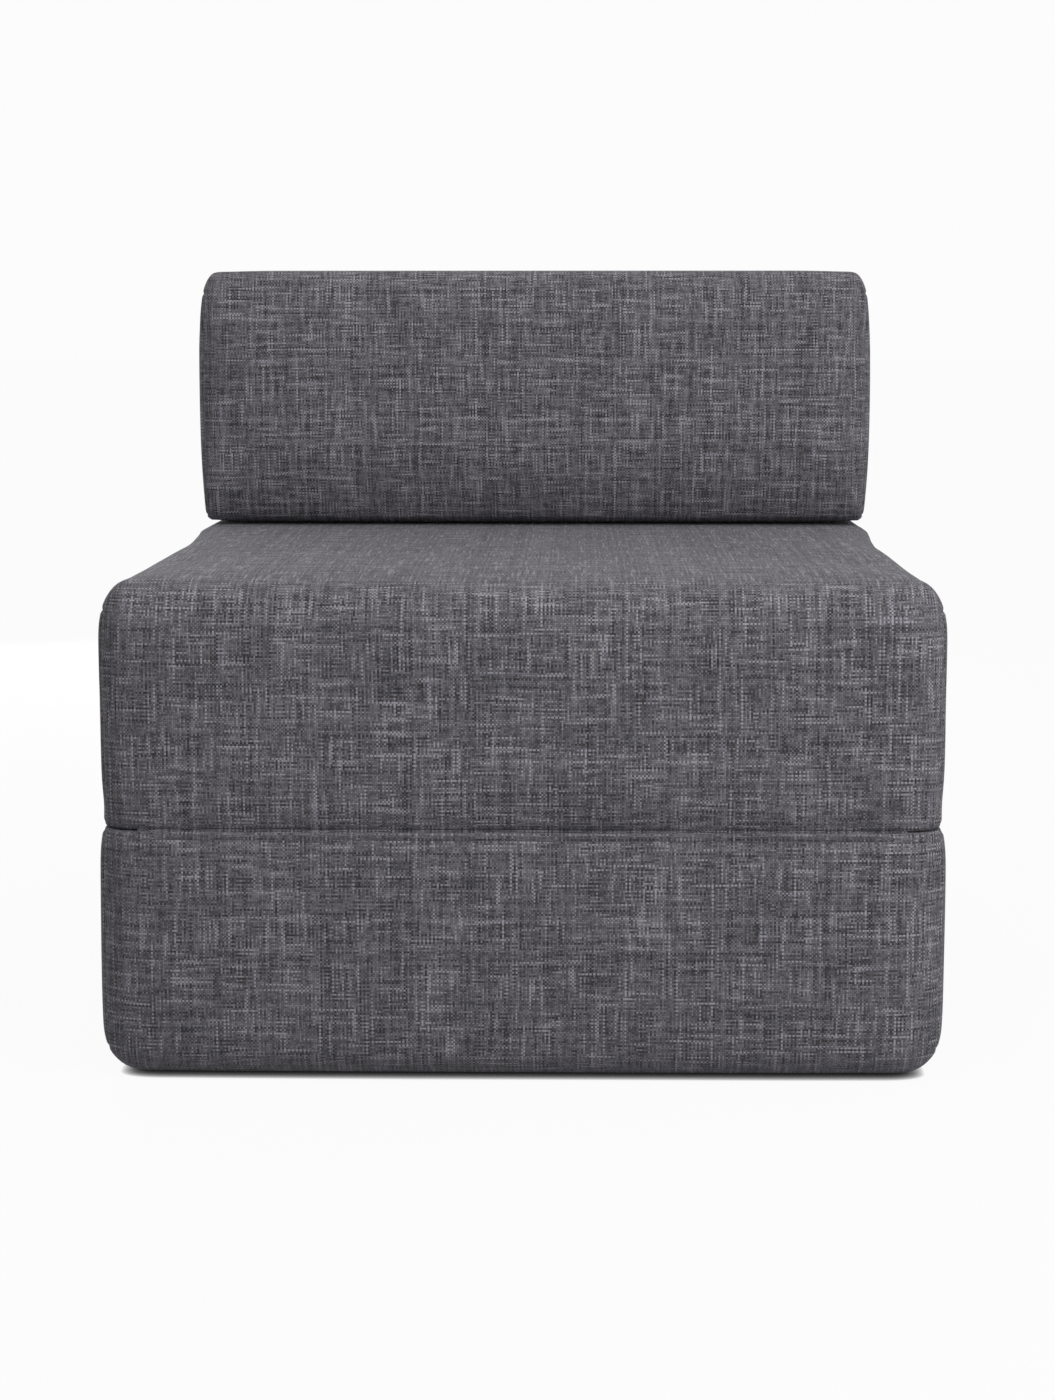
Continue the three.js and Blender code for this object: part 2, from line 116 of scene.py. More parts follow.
# The cloth and its seams
PRESSURE = 4
SWELL_CAP = 0.0035
SIM_FRAMES = 20
SIM_QUALITY = 5
CLOTH_MASS = 0.3  # kg at each vertex
CLOTH_STIFFNESS = 25
CLOTH_SHEAR = 12
CLOTH_BENDING = 2
COVER_SEED = 3
SEAM_MARK = 0.999  # a vertex with more of the mark than this is on a seam
SEAM_DEPTH = 0.0013
SEAM_WIDTH = 0.0017
PUCKER_HEIGHT = 0.0005
PUCKER_WIDTH = 0.010
PUCKER_LENGTH = 0.022
WAVE_HEIGHT = 0.0006
WAVE_LENGTH = 0.16
YARN = 0.0016  # from one thread to the next
SLUB_THREADS = 26  # length of a thick place, in threads
QUICK_THREADS = 5
SLUB_COVER = 1.3  # how much of the threads over it a thick place covers
SWAY_THREADS = 1.7
WEAVE_SCALE = 9  # of the drift that bends the threads
WEFT_APART = 0.37
THREAD_APART = 7.31  # steps in the noise from one thread to the next
SLUB_RANGE = (0.55, 0.72)
THIN_RANGE = (0.46, 0.30)
QUICK_RANGE = (0.28, 0.72)
OWN_SHARE = 0.40
SLUB_SHARE = 0.85
THIN_SHARE = 0.45
QUICK_SHARE = 0.45
FIBRE_SHARE = 0.35
FIBRE_ROUGHNESS = 0.7
FIBRES_ACROSS = 5
YARN_TWIST = 2
# Painted shade: a thread's tone falls to this share where it dives under the next, in the gaps of the
# weave
GAP_SHADE_SHARE = 0.45
GAP_SHADE_END = 0.8  # of the relief, from where on a thread is at its full tone, with no painted shade of the gap
DARK_TONE = 0.0
PALE_TONE = 1.55
DARK_YARN = 0.17
PALE_YARN = 3.05
YARN_TINT = (1.03, 0.98, 1.11)
TINT_SCALE = 120
DARK_TINT = 0.02
PALE_TINT = 0.03
SLUB_RELIEF_SHARE = 0.4
YARN_RELIEF = 0.0003
YARN_RELIEF_SHARE = 0.7
CLOTH_ROUGHNESS = 0.92
CLOTH_SHEEN = 0.04
SHEEN_ROUGHNESS = 0.5

# Plain materials: their colour, how far it varies, the scales of its noise, and the relief's depth
FOAM = dict(base=(0.69, 0.64, 0.46), spread=0.12, coarse=25, fine=900, roughness=0.95, depth=0.0006)
WADDING = dict(base=(0.80, 0.79, 0.76), spread=0.06, coarse=60, fine=700, roughness=1.0,
               depth=0.0008, sheen=0.3)
NYLON = dict(base=(0.030, 0.029, 0.034), spread=0.25, coarse=200, fine=3000, roughness=0.35,
             depth=0.00002)
THREAD = dict(base=(0.034, 0.032, 0.037), spread=0.3, coarse=300, fine=4000, roughness=0.8,
              depth=0.0001, sheen=0.2)
GRIP = dict(base=(0.014, 0.014, 0.015), spread=0.35, coarse=30, fine=1200, roughness=0.7,
            depth=0.0003, sheen=0.1)
FINE_ROUGHNESS = 0.65
TONE_RANGE = (0.3, 0.7)

# The metal and the tape of the zips
NICKEL = (0.20, 0.20, 0.215, 1)
WORN_NICKEL = (0.30, 0.295, 0.29, 1)
WORN_RANGE = (0.50, 0.80)
WEAR_SCALE = 500
DRAG_SCALE = (300, 6000, 6000)
DRAG_ROUGHNESS = 0.7
DRAG_RANGE = (0.2, 0.8)
DRAG_DEPTH = 0.00003
METAL_ROUGHNESS = (0.25, 0.5)
HERRINGBONE = 4  # ribs to one leg
TAPE_DARK = 0.022
TAPE_PALE = 0.062
TAPE_SCALE = 2500
TAPE_SLANT_SHARE = 0.22
TAPE_YARN_SHARE = 0.8
TAPE_TONE = 0.1
TAPE_RANGE = (0.1, 0.9)
TAPE_RELIEF = 0.00012
TAPE_RELIEF_SHARE = 0.8
TAPE_ROUGHNESS = 0.85
TAPE_SHEEN = 0.15

# Zips
SLOT_HALF_HEIGHT = 0.0065
TAPE_THICKNESS = 0.0009
TOOTH_PITCH = 0.0013
TOOTH_RADIUS = 0.00055
SLOT_END = 0.0065  # the tape reaches this far past the end of its slot
TAPE_RIB = 0.0007
TAPE_GAP = 0.0003
TAPE_CELL = 0.010
TOOTH_SIDES = 5
# Shares of the tape's reach and thickness, from its outer edge to the cord under the coil
TAPE_PROFILE = ((1, 0), (1, 0.6), (0.96, 1), (0.5, 0.85), (0.28, 0.85), (0.22, 1.5))
CORD_SHARE = 1.2
# From the middle of the chain, and out from the tape's rear
TOOTH_PATH = (
    (0.0022, 0.0005), (0.0019, 0.0017), (0.0009, 0.0019),
    (-0.0004, 0.0017), (-0.0009, 0.0012), (-0.0003, 0.0008),
)
END_TAPER = 0.6
STITCH_PITCH = 0.0032
STITCH_LENGTH = 0.0026
STITCH_RADIUS = 0.0003
STITCH_SET_BACK = 0.0028
STITCH_PATH = ((-1, -1), (-0.6, 0.4), (0, 0.6), (0.6, 0.4), (1, -1))
METAL_WELD = 0.00001
METAL_FLAT = math.radians(1)
METAL_SHARP = math.radians(35)
METAL_BEVEL = 0.00018
BEVEL_STEPS = 2
BEVEL_ROUND = 0.5

# Filling and underside
SECTION_STEPS = 16
ZIP_ROOM = 0.0015
PULL_ROOM = 0.0019  # how far the cloth may stand out past the tape where the pull can lie
PULL_REACH = 0.018
PULL_SPREAD = 0.008
WADDING_CELL = 0.015
WADDING_LOFT = 0.012
WADDING_LUMP = 0.05
GRIP_CELL = 0.02
GRIP_MARGIN = 0.016
GRIP_PITCH = 0.012
GRIP_DOT_RADIUS = 0.0018
GRIP_DOT_HEIGHT = 0.0007
DOT_SIDES = 8
DOT_RINGS = ((1, 0), (0.75, 0.7))  # shares of the radius and the height
RECESS_DEPTH = 0.0027

# Straps of the folds
STRAP_ROWS = 32
STRAP_REACH = 0.0050
STRAP_MOUTH = 0.0012
STRAP_TURN = 0.0020  # height of the part under the lower edge that turns when the fold opens
STRAP_DIP = 0.0012
STRAP_DIP_WIDTH = 0.0012
STRAP_SLACK = 4  # threads in the part that turns, for each that fits in it at rest
STRAP_PROUD = 0.00015
STRAP_BURY = 0.0006
STRAP_THICKNESS = 0.0006

# Light
CLOTH_LEVEL = 0.107
# Painted light: the back's cloth is the same charcoal melange made lighter, for the light that the back
# cushion lacks
BACK_PAINTED_LIGHT_LEVEL = 0.116
# The strap's cloth is darker than the covers', in part as its own darker cloth and in part as painted
# shade of the crease it lies in
STRAP_DARK_AND_SHADE_LEVEL = 0.080
CLOTH_SEED = 4
BACK_SEED = 9
FLOOR = 60
FLOOR_LEVEL = 0.3
FLOOR_ROUGHNESS = 0.9
# Reach, power and samples of the painted contact shadow in the floor's glow
SHADOW_REACH = 0.008
SHADOW_POWER = 1.5
SHADOW_SAMPLES = 8
FLOOR_GLOW_SHARE = 0.88
FLOOR_GLOW = 1.065
BACKDROP = 0.973
WORLD_LIGHT = 0.50
SOFT_BOX = 1.2
SIDE_LIGHT = 25
SIDE_LIGHT_PLACE = (1.7, -2.0, 1.0)
TOP_LIGHT = 13
TOP_LIGHT_PLACE = (0.3, -1.1, 2.0)
REAR_LIGHT = 22
REAR_LIGHT_PLACE = (-0.9, 3.0, 0.8)
LIGHT_AIM = (0, -0.1, 0.38)


# The shape of a cover

def node_box(name):
    low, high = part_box(name)
    half = (high.x - low.x) / 2
    return SimpleNamespace(half=half, front=low.y, rear=high.y, foot=low.z, top=high.z)


def edges(side, front, rear):
    return {"side": side, "front": front, "rear": rear}


def cushion(name, corner, head, head_draw, sole, sole_draw, rise, settled):
    """A cover's box in the frame, and how each edge of the box is rounded and drawn in."""
    shape = node_box(f"{name}_cover")
    shape.name = name
    shape.corner = corner
    shape.head = head
    shape.sole = sole
    shape.head_draw = head_draw
    shape.sole_draw = sole_draw
    shape.rise = rise
    shape.settled = settled
    shape.edge_top = shape.top - settled - rise[0]
    shape.crown = {"side": SIDE_CROWN, "front": FRONT_CROWN, "rear": REAR_CROWN}
    shape.zip = node_box(f"{name}_zip_chain")
    shape.zip_z = (shape.zip.foot + shape.zip.top) / 2
    shape.slot_half = shape.zip.half - SLOT_END
    shape.recess = None
    shape.sag = NO_RISE
    shape.pressed_share = 0
    return shape


def filling(cover, node):
    """What fills a cover, with the cover's roundings on the node's own box."""
    shape = SimpleNamespace(**vars(cover))
    vars(shape).update(vars(node_box(node)))
    shape.top -= cover.settled
    shape.edge_top = shape.top
    shape.rise = shape.sag = NO_RISE
    shape.crown = {"side": 0, "front": 0, "rear": 0}
    shape.zip = shape.recess = None
    return shape


def rounded_by(edge, distance):
    out, up = edge
    if distance >= up:
        return 0
    left = 1 - max(distance, 0) / up
    return out * (1 - math.sqrt(1 - left * left))


def drawn_by(draw, distance):
    by, over = draw
    return by * (1 - distance / over) ** 2 if distance < over else 0


def inset_at(shape, face, z):
    """How far one upright face has come in at height z."""
    from_top = shape.edge_top - z
    from_foot = z - shape.foot
    rounded = rounded_by(shape.head[face], from_top) + rounded_by(shape.sole[face], from_foot)
    return rounded + drawn_by(shape.head_draw, from_top) + drawn_by(shape.sole_draw, from_foot)


def ring_at(shape, z):
    """The rounded rectangle that a cover fills at height z."""
    side, front, rear = (inset_at(shape, face, z) for face in ("side", "front", "rear"))
    ring = SimpleNamespace(z=z, x=shape.half - side - shape.crown["side"])
    ring.x_rear = ring.x + shape.pressed_share * side
    ring.front = shape.front + front + shape.crown["front"]
    ring.rear = shape.rear - rear - shape.crown["rear"]
    ring.r_front = max(LEAST_CORNER, shape.corner - (side + front) / 2)
    ring.r_rear = max(LEAST_CORNER, shape.corner - (side + rear) / 2)
    return ring


def bulge(crown, along):
    return crown * (1 - abs(2 * along - 1) ** CROWN_POWER)


def corner_turn(step, on_side):
    """The angle round an upright corner, where step counts from the seam."""
    along = step**NEAR_SEAM_POWER
    if on_side:
        return SEAM_TURN + (math.pi / 2 - SEAM_TURN) * along
    return SEAM_TURN * (1 - along)


def across_point(shape, ring, k, i, shares, at_rear):
    """A point of the front or rear face with its share of the corners. i counts from -X to +X."""
    last = len(shares) - 1 + 2 * CORNER_COLUMNS
    way = 1 if at_rear else -1
    r = ring.r_rear if at_rear else ring.r_front
    y = ring.rear if at_rear else ring.front
    flat = (ring.x_rear if at_rear else ring.x) - r
    from_end = min(i, last - i)
    if from_end < CORNER_COLUMNS:
        turn = corner_turn((from_end - k) / (CORNER_COLUMNS - k), False)
        side = -1 if i < last / 2 else 1
        x = side * (flat + r * math.sin(turn))
        return (x, y - way * r * (1 - math.cos(turn)), ring.z)
    along = shares[i - CORNER_COLUMNS]
    crown = shape.crown["rear" if at_rear else "front"]
    return (flat * (2 * along - 1), y + way * bulge(crown, along), ring.z)


def side_point(shape, ring, k, j, shares, side):
    """A point of a side face with its share of the corners. j counts from front to rear."""
    last = len(shares) - 1 + 2 * CORNER_COLUMNS
    low = ring.front + ring.r_front
    high = ring.rear - ring.r_rear
    from_end = min(j, last - j)
    if from_end < CORNER_COLUMNS:
        turn = corner_turn((from_end - k) / (CORNER_COLUMNS - k), True)
        at_rear = j > last / 2
        r = ring.r_rear if at_rear else ring.r_front
        y = high + r * math.cos(turn) if at_rear else low - r * math.cos(turn)
        flat = (ring.x_rear if at_rear else ring.x) - r
        return (side * (flat + r * math.sin(turn)), y, ring.z)
    along = shares[j - CORNER_COLUMNS]
    y = low + (high - low) * along
    pressed = min(max((y - shape.loaded_from) / PRESSED_SPREAD + 1, 0), 1)
    x = ring.x + (ring.x_rear - ring.x) * pressed * pressed * (3 - 2 * pressed)
    return (side * (x + bulge(shape.crown["side"], along)), y, ring.z)


def wall_levels(shape):
    """Heights of the wall's rows, from the lower seam of the side panels to the upper one."""
    sole = shape.sole["side"][1]
    head = shape.head["side"][1]
    low = shape.foot + sole
    high = shape.edge_top - head
    count = max(2, round((high - low) / CELL))
    levels = [low + (high - low) * i / count for i in range(count + 1)]
    for up, start, way in ((sole, low, -1), (head, high, 1)):
        rows = EDGE_ROWS if up > SMALL_EDGE else 1
        for i in range(rows):
            turn = EDGE_TURN * (1 - (i / rows) ** NEAR_SEAM_POWER)
            levels.append(start + way * up * math.sin(turn))
    if shape.zip:
        for wanted in (shape.zip_z - SLOT_HALF_HEIGHT, shape.zip_z + SLOT_HALF_HEIGHT):
            nearest = min(range(len(levels)), key=lambda n: abs(levels[n] - wanted))
            levels[nearest] = wanted
    return sorted(levels)


def lid_levels(shape, at_top):
    """Heights of the rings between the seam and the flat of the top or the underside."""
    up = shape.head["side"][1] if at_top else shape.sole["side"][1]
    end = shape.edge_top if at_top else shape.foot
    way = -1 if at_top else 1
    rings = LID_RINGS if up > SMALL_EDGE else CREASE_RINGS
    levels = []
    for k in range(1, rings + 1):
        turn = EDGE_TURN + (math.pi / 2 - EDGE_TURN) * (k / rings) ** NEAR_SEAM_POWER
        levels.append(end + way * up * (1 - math.sin(turn)))
    return levels


def even_shares(length, exact=()):
    """Shares along a face for its columns, about one cell apart, with some at exact shares."""
    count = max(2, round(length / CELL))
    shares = [i / count for i in range(count + 1)]
    for wanted in exact:
        nearest = min(range(len(shares)), key=lambda n: abs(shares[n] - wanted))
        shares[nearest] = wanted
    return shares


def lengths_along(points):
    steps = np.linalg.norm(np.diff(points, axis=0), axis=1)
    return np.concatenate([[0], np.cumsum(steps)])


def shares_of(points):
    """How far along a line of points each one lies, from 0 to 1."""
    along = lengths_along(np.array(points))
    return along / along[-1]


def recess_at(recess, point):
    """How far the cover goes up to make room for a panel that is let into its underside."""
    if recess is None:
        return 0
    inside = abs(point[0]) < recess.half and recess.front < point[1] < recess.rear
    return RECESS_DEPTH if inside else 0


class Grid:
    """A closed cover as rows of vertices that follow its threads, one patch for each face."""

    def __init__(self, shape):
        self.shape = shape
        self.points = []
        flat = shape.half - shape.crown["side"] - shape.corner
        exact = [(way * shape.slot_half / flat + 1) / 2 for way in (-1, 1)] if shape.zip else []
        self.x_shares = even_shares(2 * flat, exact)
        self.y_shares = even_shares(shape.rear - shape.front - 2 * shape.corner)
        self.nx = len(self.x_shares) - 1 + 2 * CORNER_COLUMNS
        self.ny = len(self.y_shares) - 1 + 2 * CORNER_COLUMNS
        self.walls()
        self.top = self.lid(True)
        self.sole = self.lid(False)

    def add(self, point):
        self.points.append(point)
        return len(self.points) - 1

    def across(self, ring, k, i, at_rear):
        return self.add(across_point(self.shape, ring, k, i, self.x_shares, at_rear))

    def along(self, ring, k, j, side):
        return self.add(side_point(self.shape, ring, k, j, self.y_shares, side))

    def walls(self):
        """The four upright faces. The side panels share the columns on their seams."""
        self.front, self.rear, self.left, self.right = [], [], [], []
        for z in wall_levels(self.shape):
            ring = ring_at(self.shape, z)
            front = [self.across(ring, 0, i, False) for i in range(self.nx + 1)]
            rear = [self.across(ring, 0, i, True) for i in range(self.nx + 1)]
            left = [self.along(ring, 0, j, -1) for j in range(1, self.ny)]
            right = [self.along(ring, 0, j, 1) for j in range(1, self.ny)]
            self.front.append(front)
            self.rear.append(rear)
            self.left.append([front[0], *left, rear[0]])
            self.right.append([front[-1], *right, rear[-1]])

    def lid(self, at_top):
        """Rows of the top or the underside, from front to rear, each from -X to +X."""
        nx, ny = self.nx, self.ny
        wall = -1 if at_top else 0
        rows = [[None] * (nx + 1) for _ in range(ny + 1)]
        rows[0] = list(self.front[wall])
        rows[ny] = list(self.rear[wall])
        for j in range(ny + 1):
            rows[j][0] = self.left[wall][j]
            rows[j][nx] = self.right[wall][j]
        levels = lid_levels(self.shape, at_top)
        for k, z in enumerate(levels, 1):
            ring = ring_at(self.shape, z)
            for i in range(k, nx - k + 1):
                rows[k][i] = self.across(ring, k, i, False)
                rows[ny - k][i] = self.across(ring, k, i, True)
            for j in range(k + 1, ny - k):
                rows[j][k] = self.along(ring, k, j, -1)
                rows[j][nx - k] = self.along(ring, k, j, 1)
        if at_top:
            self.fill(rows, len(levels), self.shape.rise, None)
        else:
            self.fill(rows, len(levels), self.shape.sag, self.shape.recess)
        return rows

    def fill(self, rows, k, rise, recess):
        """The inside of the last ring, spread between its four sides and crowned."""
        place = lambda index: np.array(self.points[index])
        front = [place(v) for v in rows[k][k : self.nx - k + 1]]
        rear = [place(v) for v in rows[self.ny - k][k : self.nx - k + 1]]
        left = [place(row[k]) for row in rows[k : self.ny - k + 1]]
        right = [place(row[self.nx - k]) for row in rows[k : self.ny - k + 1]]
        across = shares_of(front)
        along = shares_of(left)
        full = lambda distance: 1 - (1 - min(distance / rise[1], 1)) ** 2
        for j in range(1, len(left) - 1):
            t = along[j]
            for i in range(1, len(front) - 1):
                s = across[i]
                point = (1 - t) * front[i] + t * rear[i] + (1 - s) * left[j] + s * right[j]
                point -= (1 - s) * (1 - t) * front[0] + s * (1 - t) * front[-1]
                point -= (1 - s) * t * rear[0] + s * t * rear[-1]
                to_side = min(point[0] - left[j][0], right[j][0] - point[0])
                to_front = point[1] - front[i][1]
                to_rear = rear[i][1] - point[1]
                point[2] += rise[0] * full(to_side) * full(to_front) * full(to_rear)
                point[2] += recess_at(recess, point)
                rows[j + k][i + k] = self.add(tuple(point))

    def patches(self):
        """Each face's rows, and whether its quads turn over to face out."""
        band = [(self.front, False), (self.rear, True), (self.top, False), (self.sole, True)]
        return band + [(self.left, True), (self.right, False)]

    def quads(self):
        found = []
        for rows, turned in self.patches():
            for low, high in zip(rows, rows[1:]):
                for c in range(len(low) - 1):
                    quad = (low[c], low[c + 1], high[c + 1], high[c])
                    found.append(quad[::-1] if turned else quad)
        return found

    def seam_vertices(self):
        """All vertices where a side panel is sewn to the wrapped cloth."""
        found = set()
        for panel in (self.left, self.right):
            found.update(panel[0])
            found.update(panel[-1])
            for row in panel:
                found.update((row[0], row[-1]))
        return found


# The weave's own coordinates

def lengths_up(rows, co):
    """How far up a face each of its rows lies, measured on its middle column."""
    middle = (len(rows[0]) - 1) // 2
    return lengths_along(co[[row[middle] for row in rows]])


def thread_map(grid, co):
    """For each face's patch, the place of every vertex along the weft and the warp, in metres."""
    maps = []
    up = lengths_up(grid.front, co)
    over = up[-1] + lengths_up(grid.top, co)
    fall = lengths_up(grid.rear, co)
    side = lengths_up(grid.left, co)
    warps = [up, over[-1] + fall[-1] - fall, over, -lengths_up(grid.sole, co), side, side]
    for (rows, _), warp in zip(grid.patches(), warps):
        centre = len(rows[0]) // 2
        patch = np.zeros((len(rows), len(rows[0]), 2))
        for r, row in enumerate(rows):
            along = lengths_along(co[row])
            patch[r, :, 0] = along - along[centre]
            patch[r, :, 1] = warp[r] + grid.shape.warp_start
        maps.append(patch)
    return maps


def corner_places(grid, co):
    """The weave's coordinates for every corner of every quad, in the quads' own order."""
    found = []
    for (rows, turned), patch in zip(grid.patches(), thread_map(grid, co)):
        for r in range(len(rows) - 1):
            for c in range(len(rows[0]) - 1):
                quad = [patch[r, c], patch[r, c + 1], patch[r + 1, c + 1], patch[r + 1, c]]
                found.extend(quad[::-1] if turned else quad)
    return np.array(found)


# Blowing up and sewing a cover

def in_scene(name, data):
    """A new object in the scene."""
    obj = bpy.data.objects.new(name, data)
    bpy.context.scene.collection.objects.link(obj)
    return obj


def mesh_object(name, points, faces):
    mesh = bpy.data.meshes.new(name)
    mesh.from_pydata([tuple(p) for p in points], [], faces)
    return in_scene(name, mesh)


def blown_up(points, quads, pinned):
    """The same points after the closed cloth is put under pressure, with the pinned ones held."""
    cloth = mesh_object("blown_up", points, quads)
    group = cloth.vertex_groups.new(name="held")
    group.add(pinned, 1, "REPLACE")
    settings = cloth.modifiers.new("cloth", "CLOTH").settings
    settings.quality = SIM_QUALITY
    settings.mass = CLOTH_MASS
    settings.tension_stiffness = CLOTH_STIFFNESS
    settings.compression_stiffness = CLOTH_STIFFNESS
    settings.shear_stiffness = CLOTH_SHEAR
    settings.bending_stiffness = CLOTH_BENDING
    settings.use_pressure = True
    settings.uniform_pressure_force = PRESSURE
    settings.vertex_group_mass = "held"
    settings.effector_weights.gravity = 0
    scene = bpy.context.scene
    for number in range(1, SIM_FRAMES + 1):
        scene.frame_set(number)
    shown = cloth.evaluated_get(bpy.context.evaluated_depsgraph_get())
    moved = np.array([v.co for v in shown.data.vertices])
    scene.frame_set(1)
    bpy.data.objects.remove(cloth)
    step = moved - points
    length = np.linalg.norm(step, axis=1, keepdims=True)
    capped = SWELL_CAP * np.tanh(length / SWELL_CAP)
    return points + step * capped / np.maximum(length, TINY)


def held_vertices(grid):
    """Vertices that rest on something: the underside, and what lies under another cushion."""
    held = {v for row in grid.sole for v in row}
    for row in grid.top:
        held.update(v for v in row if grid.points[v][1] > grid.shape.loaded_from)
    return sorted(held)


def refined(obj):
    """The object's mesh after its modifiers and one smoothing, with none left on it."""
    smooth = obj.modifiers.new("smooth", "SUBSURF")
    smooth.levels = smooth.render_levels = 1
    depsgraph = bpy.context.evaluated_depsgraph_get()
    shown = obj.evaluated_get(depsgraph)
    mesh = bpy.data.meshes.new_from_object(shown, preserve_all_data_layers=True, depsgraph=depsgraph)
    obj.modifiers.clear()
    obj.data = mesh
    return mesh


def vertex_values(mesh, what):
    """The place or the normal of every vertex, one in each row."""
    found = np.zeros(len(mesh.vertices) * 3)
    mesh.vertices.foreach_get(what, found)
    return found.reshape(-1, 3)


def sewn_shift(mesh, co, seed):
    """How far out each vertex goes: in at the seams, puckered beside them, slightly uneven elsewhere."""
    marks = np.zeros(len(mesh.vertices), np.float32)
    mesh.attributes["seam"].data.foreach_get("value", marks)
    sewn = co[marks > SEAM_MARK]
    tree = KDTree(len(sewn))
    for number, place in enumerate(sewn):
        tree.insert(place, number)
    tree.balance()
    away = np.array([tree.find(place)[2] for place in co])
    apart = Vector((seed, seed / 2, seed / 3))
    wave = [noise.noise(Vector(place) / WAVE_LENGTH + apart) for place in co]
    pucker = [noise.noise(Vector(place) / PUCKER_LENGTH + apart) for place in co]
    shift = WAVE_HEIGHT * np.array(wave)
    shift += PUCKER_HEIGHT * np.array(pucker) * np.exp(-((away / PUCKER_WIDTH) ** 2))
    return shift - SEAM_DEPTH * np.exp(-((away / SEAM_WIDTH) ** 2))


def make_room_for_pull(co, shape):
    """Sets the cloth back at both ends of the zip's slot, where its pull can lie over it."""
    from_end = np.abs(np.abs(co[:, 0]) - shape.slot_half)
    past_x = np.maximum(from_end - PULL_REACH, 0)
    past_z = np.maximum(np.abs(co[:, 2] - shape.zip_z) - SLOT_HALF_HEIGHT, 0)
    share = np.exp(-(past_x**2 + past_z**2) / PULL_SPREAD**2)
    proud = np.maximum(co[:, 1] - shape.zip.rear - PULL_ROOM, 0)
    co[:, 1] -= share * proud


def cover_object(grid, co, seed):
    """The cover as one object with its seams and the opening for its zip."""
    shape = grid.shape
    obj = mesh_object(f"{shape.name}_cover_cloth", co, grid.quads())
    weave = obj.data.uv_layers.new(name="weave")
    weave.data.foreach_set("uv", corner_places(grid, co).ravel())
    marks = np.zeros(len(co), np.float32)
    marks[list(grid.seam_vertices())] = 1
    obj.data.attributes.new("seam", "FLOAT", "POINT").data.foreach_set("value", marks)
    mesh = refined(obj)
    co = vertex_values(mesh, "co")
    out = vertex_values(mesh, "normal")
    shift = sewn_shift(mesh, co, seed)
    loaded = (out[:, 2] > LID_FACING) & (co[:, 1] > shape.loaded_from)
    shift[(out[:, 2] < -LID_FACING) | loaded] = 0
    co += out * shift[:, None]
    make_room_for_pull(co, shape)
    mesh.vertices.foreach_set("co", co.ravel())
    mesh.update()
    open_slot(mesh, shape)
    mesh.shade_smooth()
    return obj


def open_slot(mesh, shape):
    """Cuts the zip's slot in the rear and turns its edges in as far as the tape."""
    edit = bmesh.new()
    edit.from_mesh(mesh)
    low = shape.zip_z - SLOT_HALF_HEIGHT
    high = shape.zip_z + SLOT_HALF_HEIGHT
    gone = []
    for face in edit.faces:
        middle = face.calc_center_median()
        inside = low < middle.z < high and abs(middle.x) < shape.slot_half
        if inside and face.normal.y > REAR_FACING:
            gone.append(face)
    bmesh.ops.delete(edit, geom=gone, context="FACES")
    rim = [edge for edge in edit.edges if edge.is_boundary]
    for vert in {v for edge in rim for v in edge.verts}:
        vert.co.z = low if vert.co.z < shape.zip_z else high
    turned = bmesh.ops.extrude_edge_only(edit, edges=rim)["geom"]
    tape = shape.zip.front + TAPE_THICKNESS
    for vert in turned:
        if isinstance(vert, bmesh.types.BMVert):
            vert.co.y = tape
    bmesh.ops.recalc_face_normals(edit, faces=edit.faces)
    edit.to_mesh(mesh)
    edit.free()


# Materials

class Nodes:
    """Short calls that add shader nodes to one material or world and join them."""

    def __init__(self, owner):
        owner.use_nodes = True
        self.owner = owner
        self.tree = owner.node_tree
        self.shader = self.tree.nodes.get("Principled BSDF")

    def join(self, value, socket):
        if isinstance(value, bpy.types.NodeSocket):
            self.tree.links.new(value, socket)
        else:
            socket.default_value = value

    def new(self, kind, *values):
        """A node with its first inputs set or joined."""
        node = self.tree.nodes.new(f"ShaderNode{kind}")
        for value, socket in zip(values, node.inputs):
            self.join(value, socket)
        return node

    def math(self, operation, *values):
        node = self.new("Math", *values)
        node.operation = operation
        return node.outputs[0]

    def vector(self, *values):
        return self.new("CombineXYZ", *values).outputs[0]

    def split(self, value):
        return self.new("SeparateXYZ", value).outputs

    def noise(self, at, scale=1, detail=2, rough=0.5):
        node = self.new("TexNoise", at)
        node.inputs["Scale"].default_value = scale
        node.inputs["Detail"].default_value = detail
        node.inputs["Roughness"].default_value = rough
        return node.outputs[0]

    def white(self, value):
        node = self.new("TexWhiteNoise")
        node.noise_dimensions = "1D"
        self.join(value, node.inputs["W"])
        return node.outputs[0]

    def ramp(self, value, low, high, start=0, end=1):
        node = self.new("MapRange", value, low, high, start, end)
        node.interpolation_type = "SMOOTHSTEP"
        return node.outputs[0]

    def mix(self, share, a, b):
        node = self.new("Mix", share)
        node.data_type = "RGBA"
        self.join(a, node.inputs[6])
        self.join(b, node.inputs[7])
        return node.outputs[2]

    def choose(self, share, a, b):
        node = self.new("Mix", share)
        self.join(a, node.inputs[2])
        self.join(b, node.inputs[3])
        return node.outputs[0]

    def place(self):
        return self.new("TexCoord").outputs["Object"]

    def weave_place(self):
        node = self.new("UVMap")
        node.uv_map = "weave"
        return self.split(node.outputs[0])

    def seen(self):
        """One on what the camera sees, straight or by a mirror or clear thing, and else nought."""
        path = self.new("LightPath").outputs
        seen = path["Is Camera Ray"]
        for other in ("Is Glossy Ray", "Is Transmission Ray"):
            seen = self.math("MAXIMUM", seen, path[other])
        return seen

    def colour(self, value):
        self.join(value, self.shader.inputs["Base Color"])

    def bump(self, height, distance, strength=1):
        node = self.new("Bump", strength, distance)
        self.join(height, node.inputs["Height"])
        self.join(node.outputs[0], self.shader.inputs["Normal"])

    def finish(self, roughness, sheen=0):
        self.shader.inputs["Roughness"].default_value = roughness
        self.shader.inputs["Sheen Weight"].default_value = sheen
        self.shader.inputs["Sheen Roughness"].default_value = SHEEN_ROUGHNESS
        return self.owner


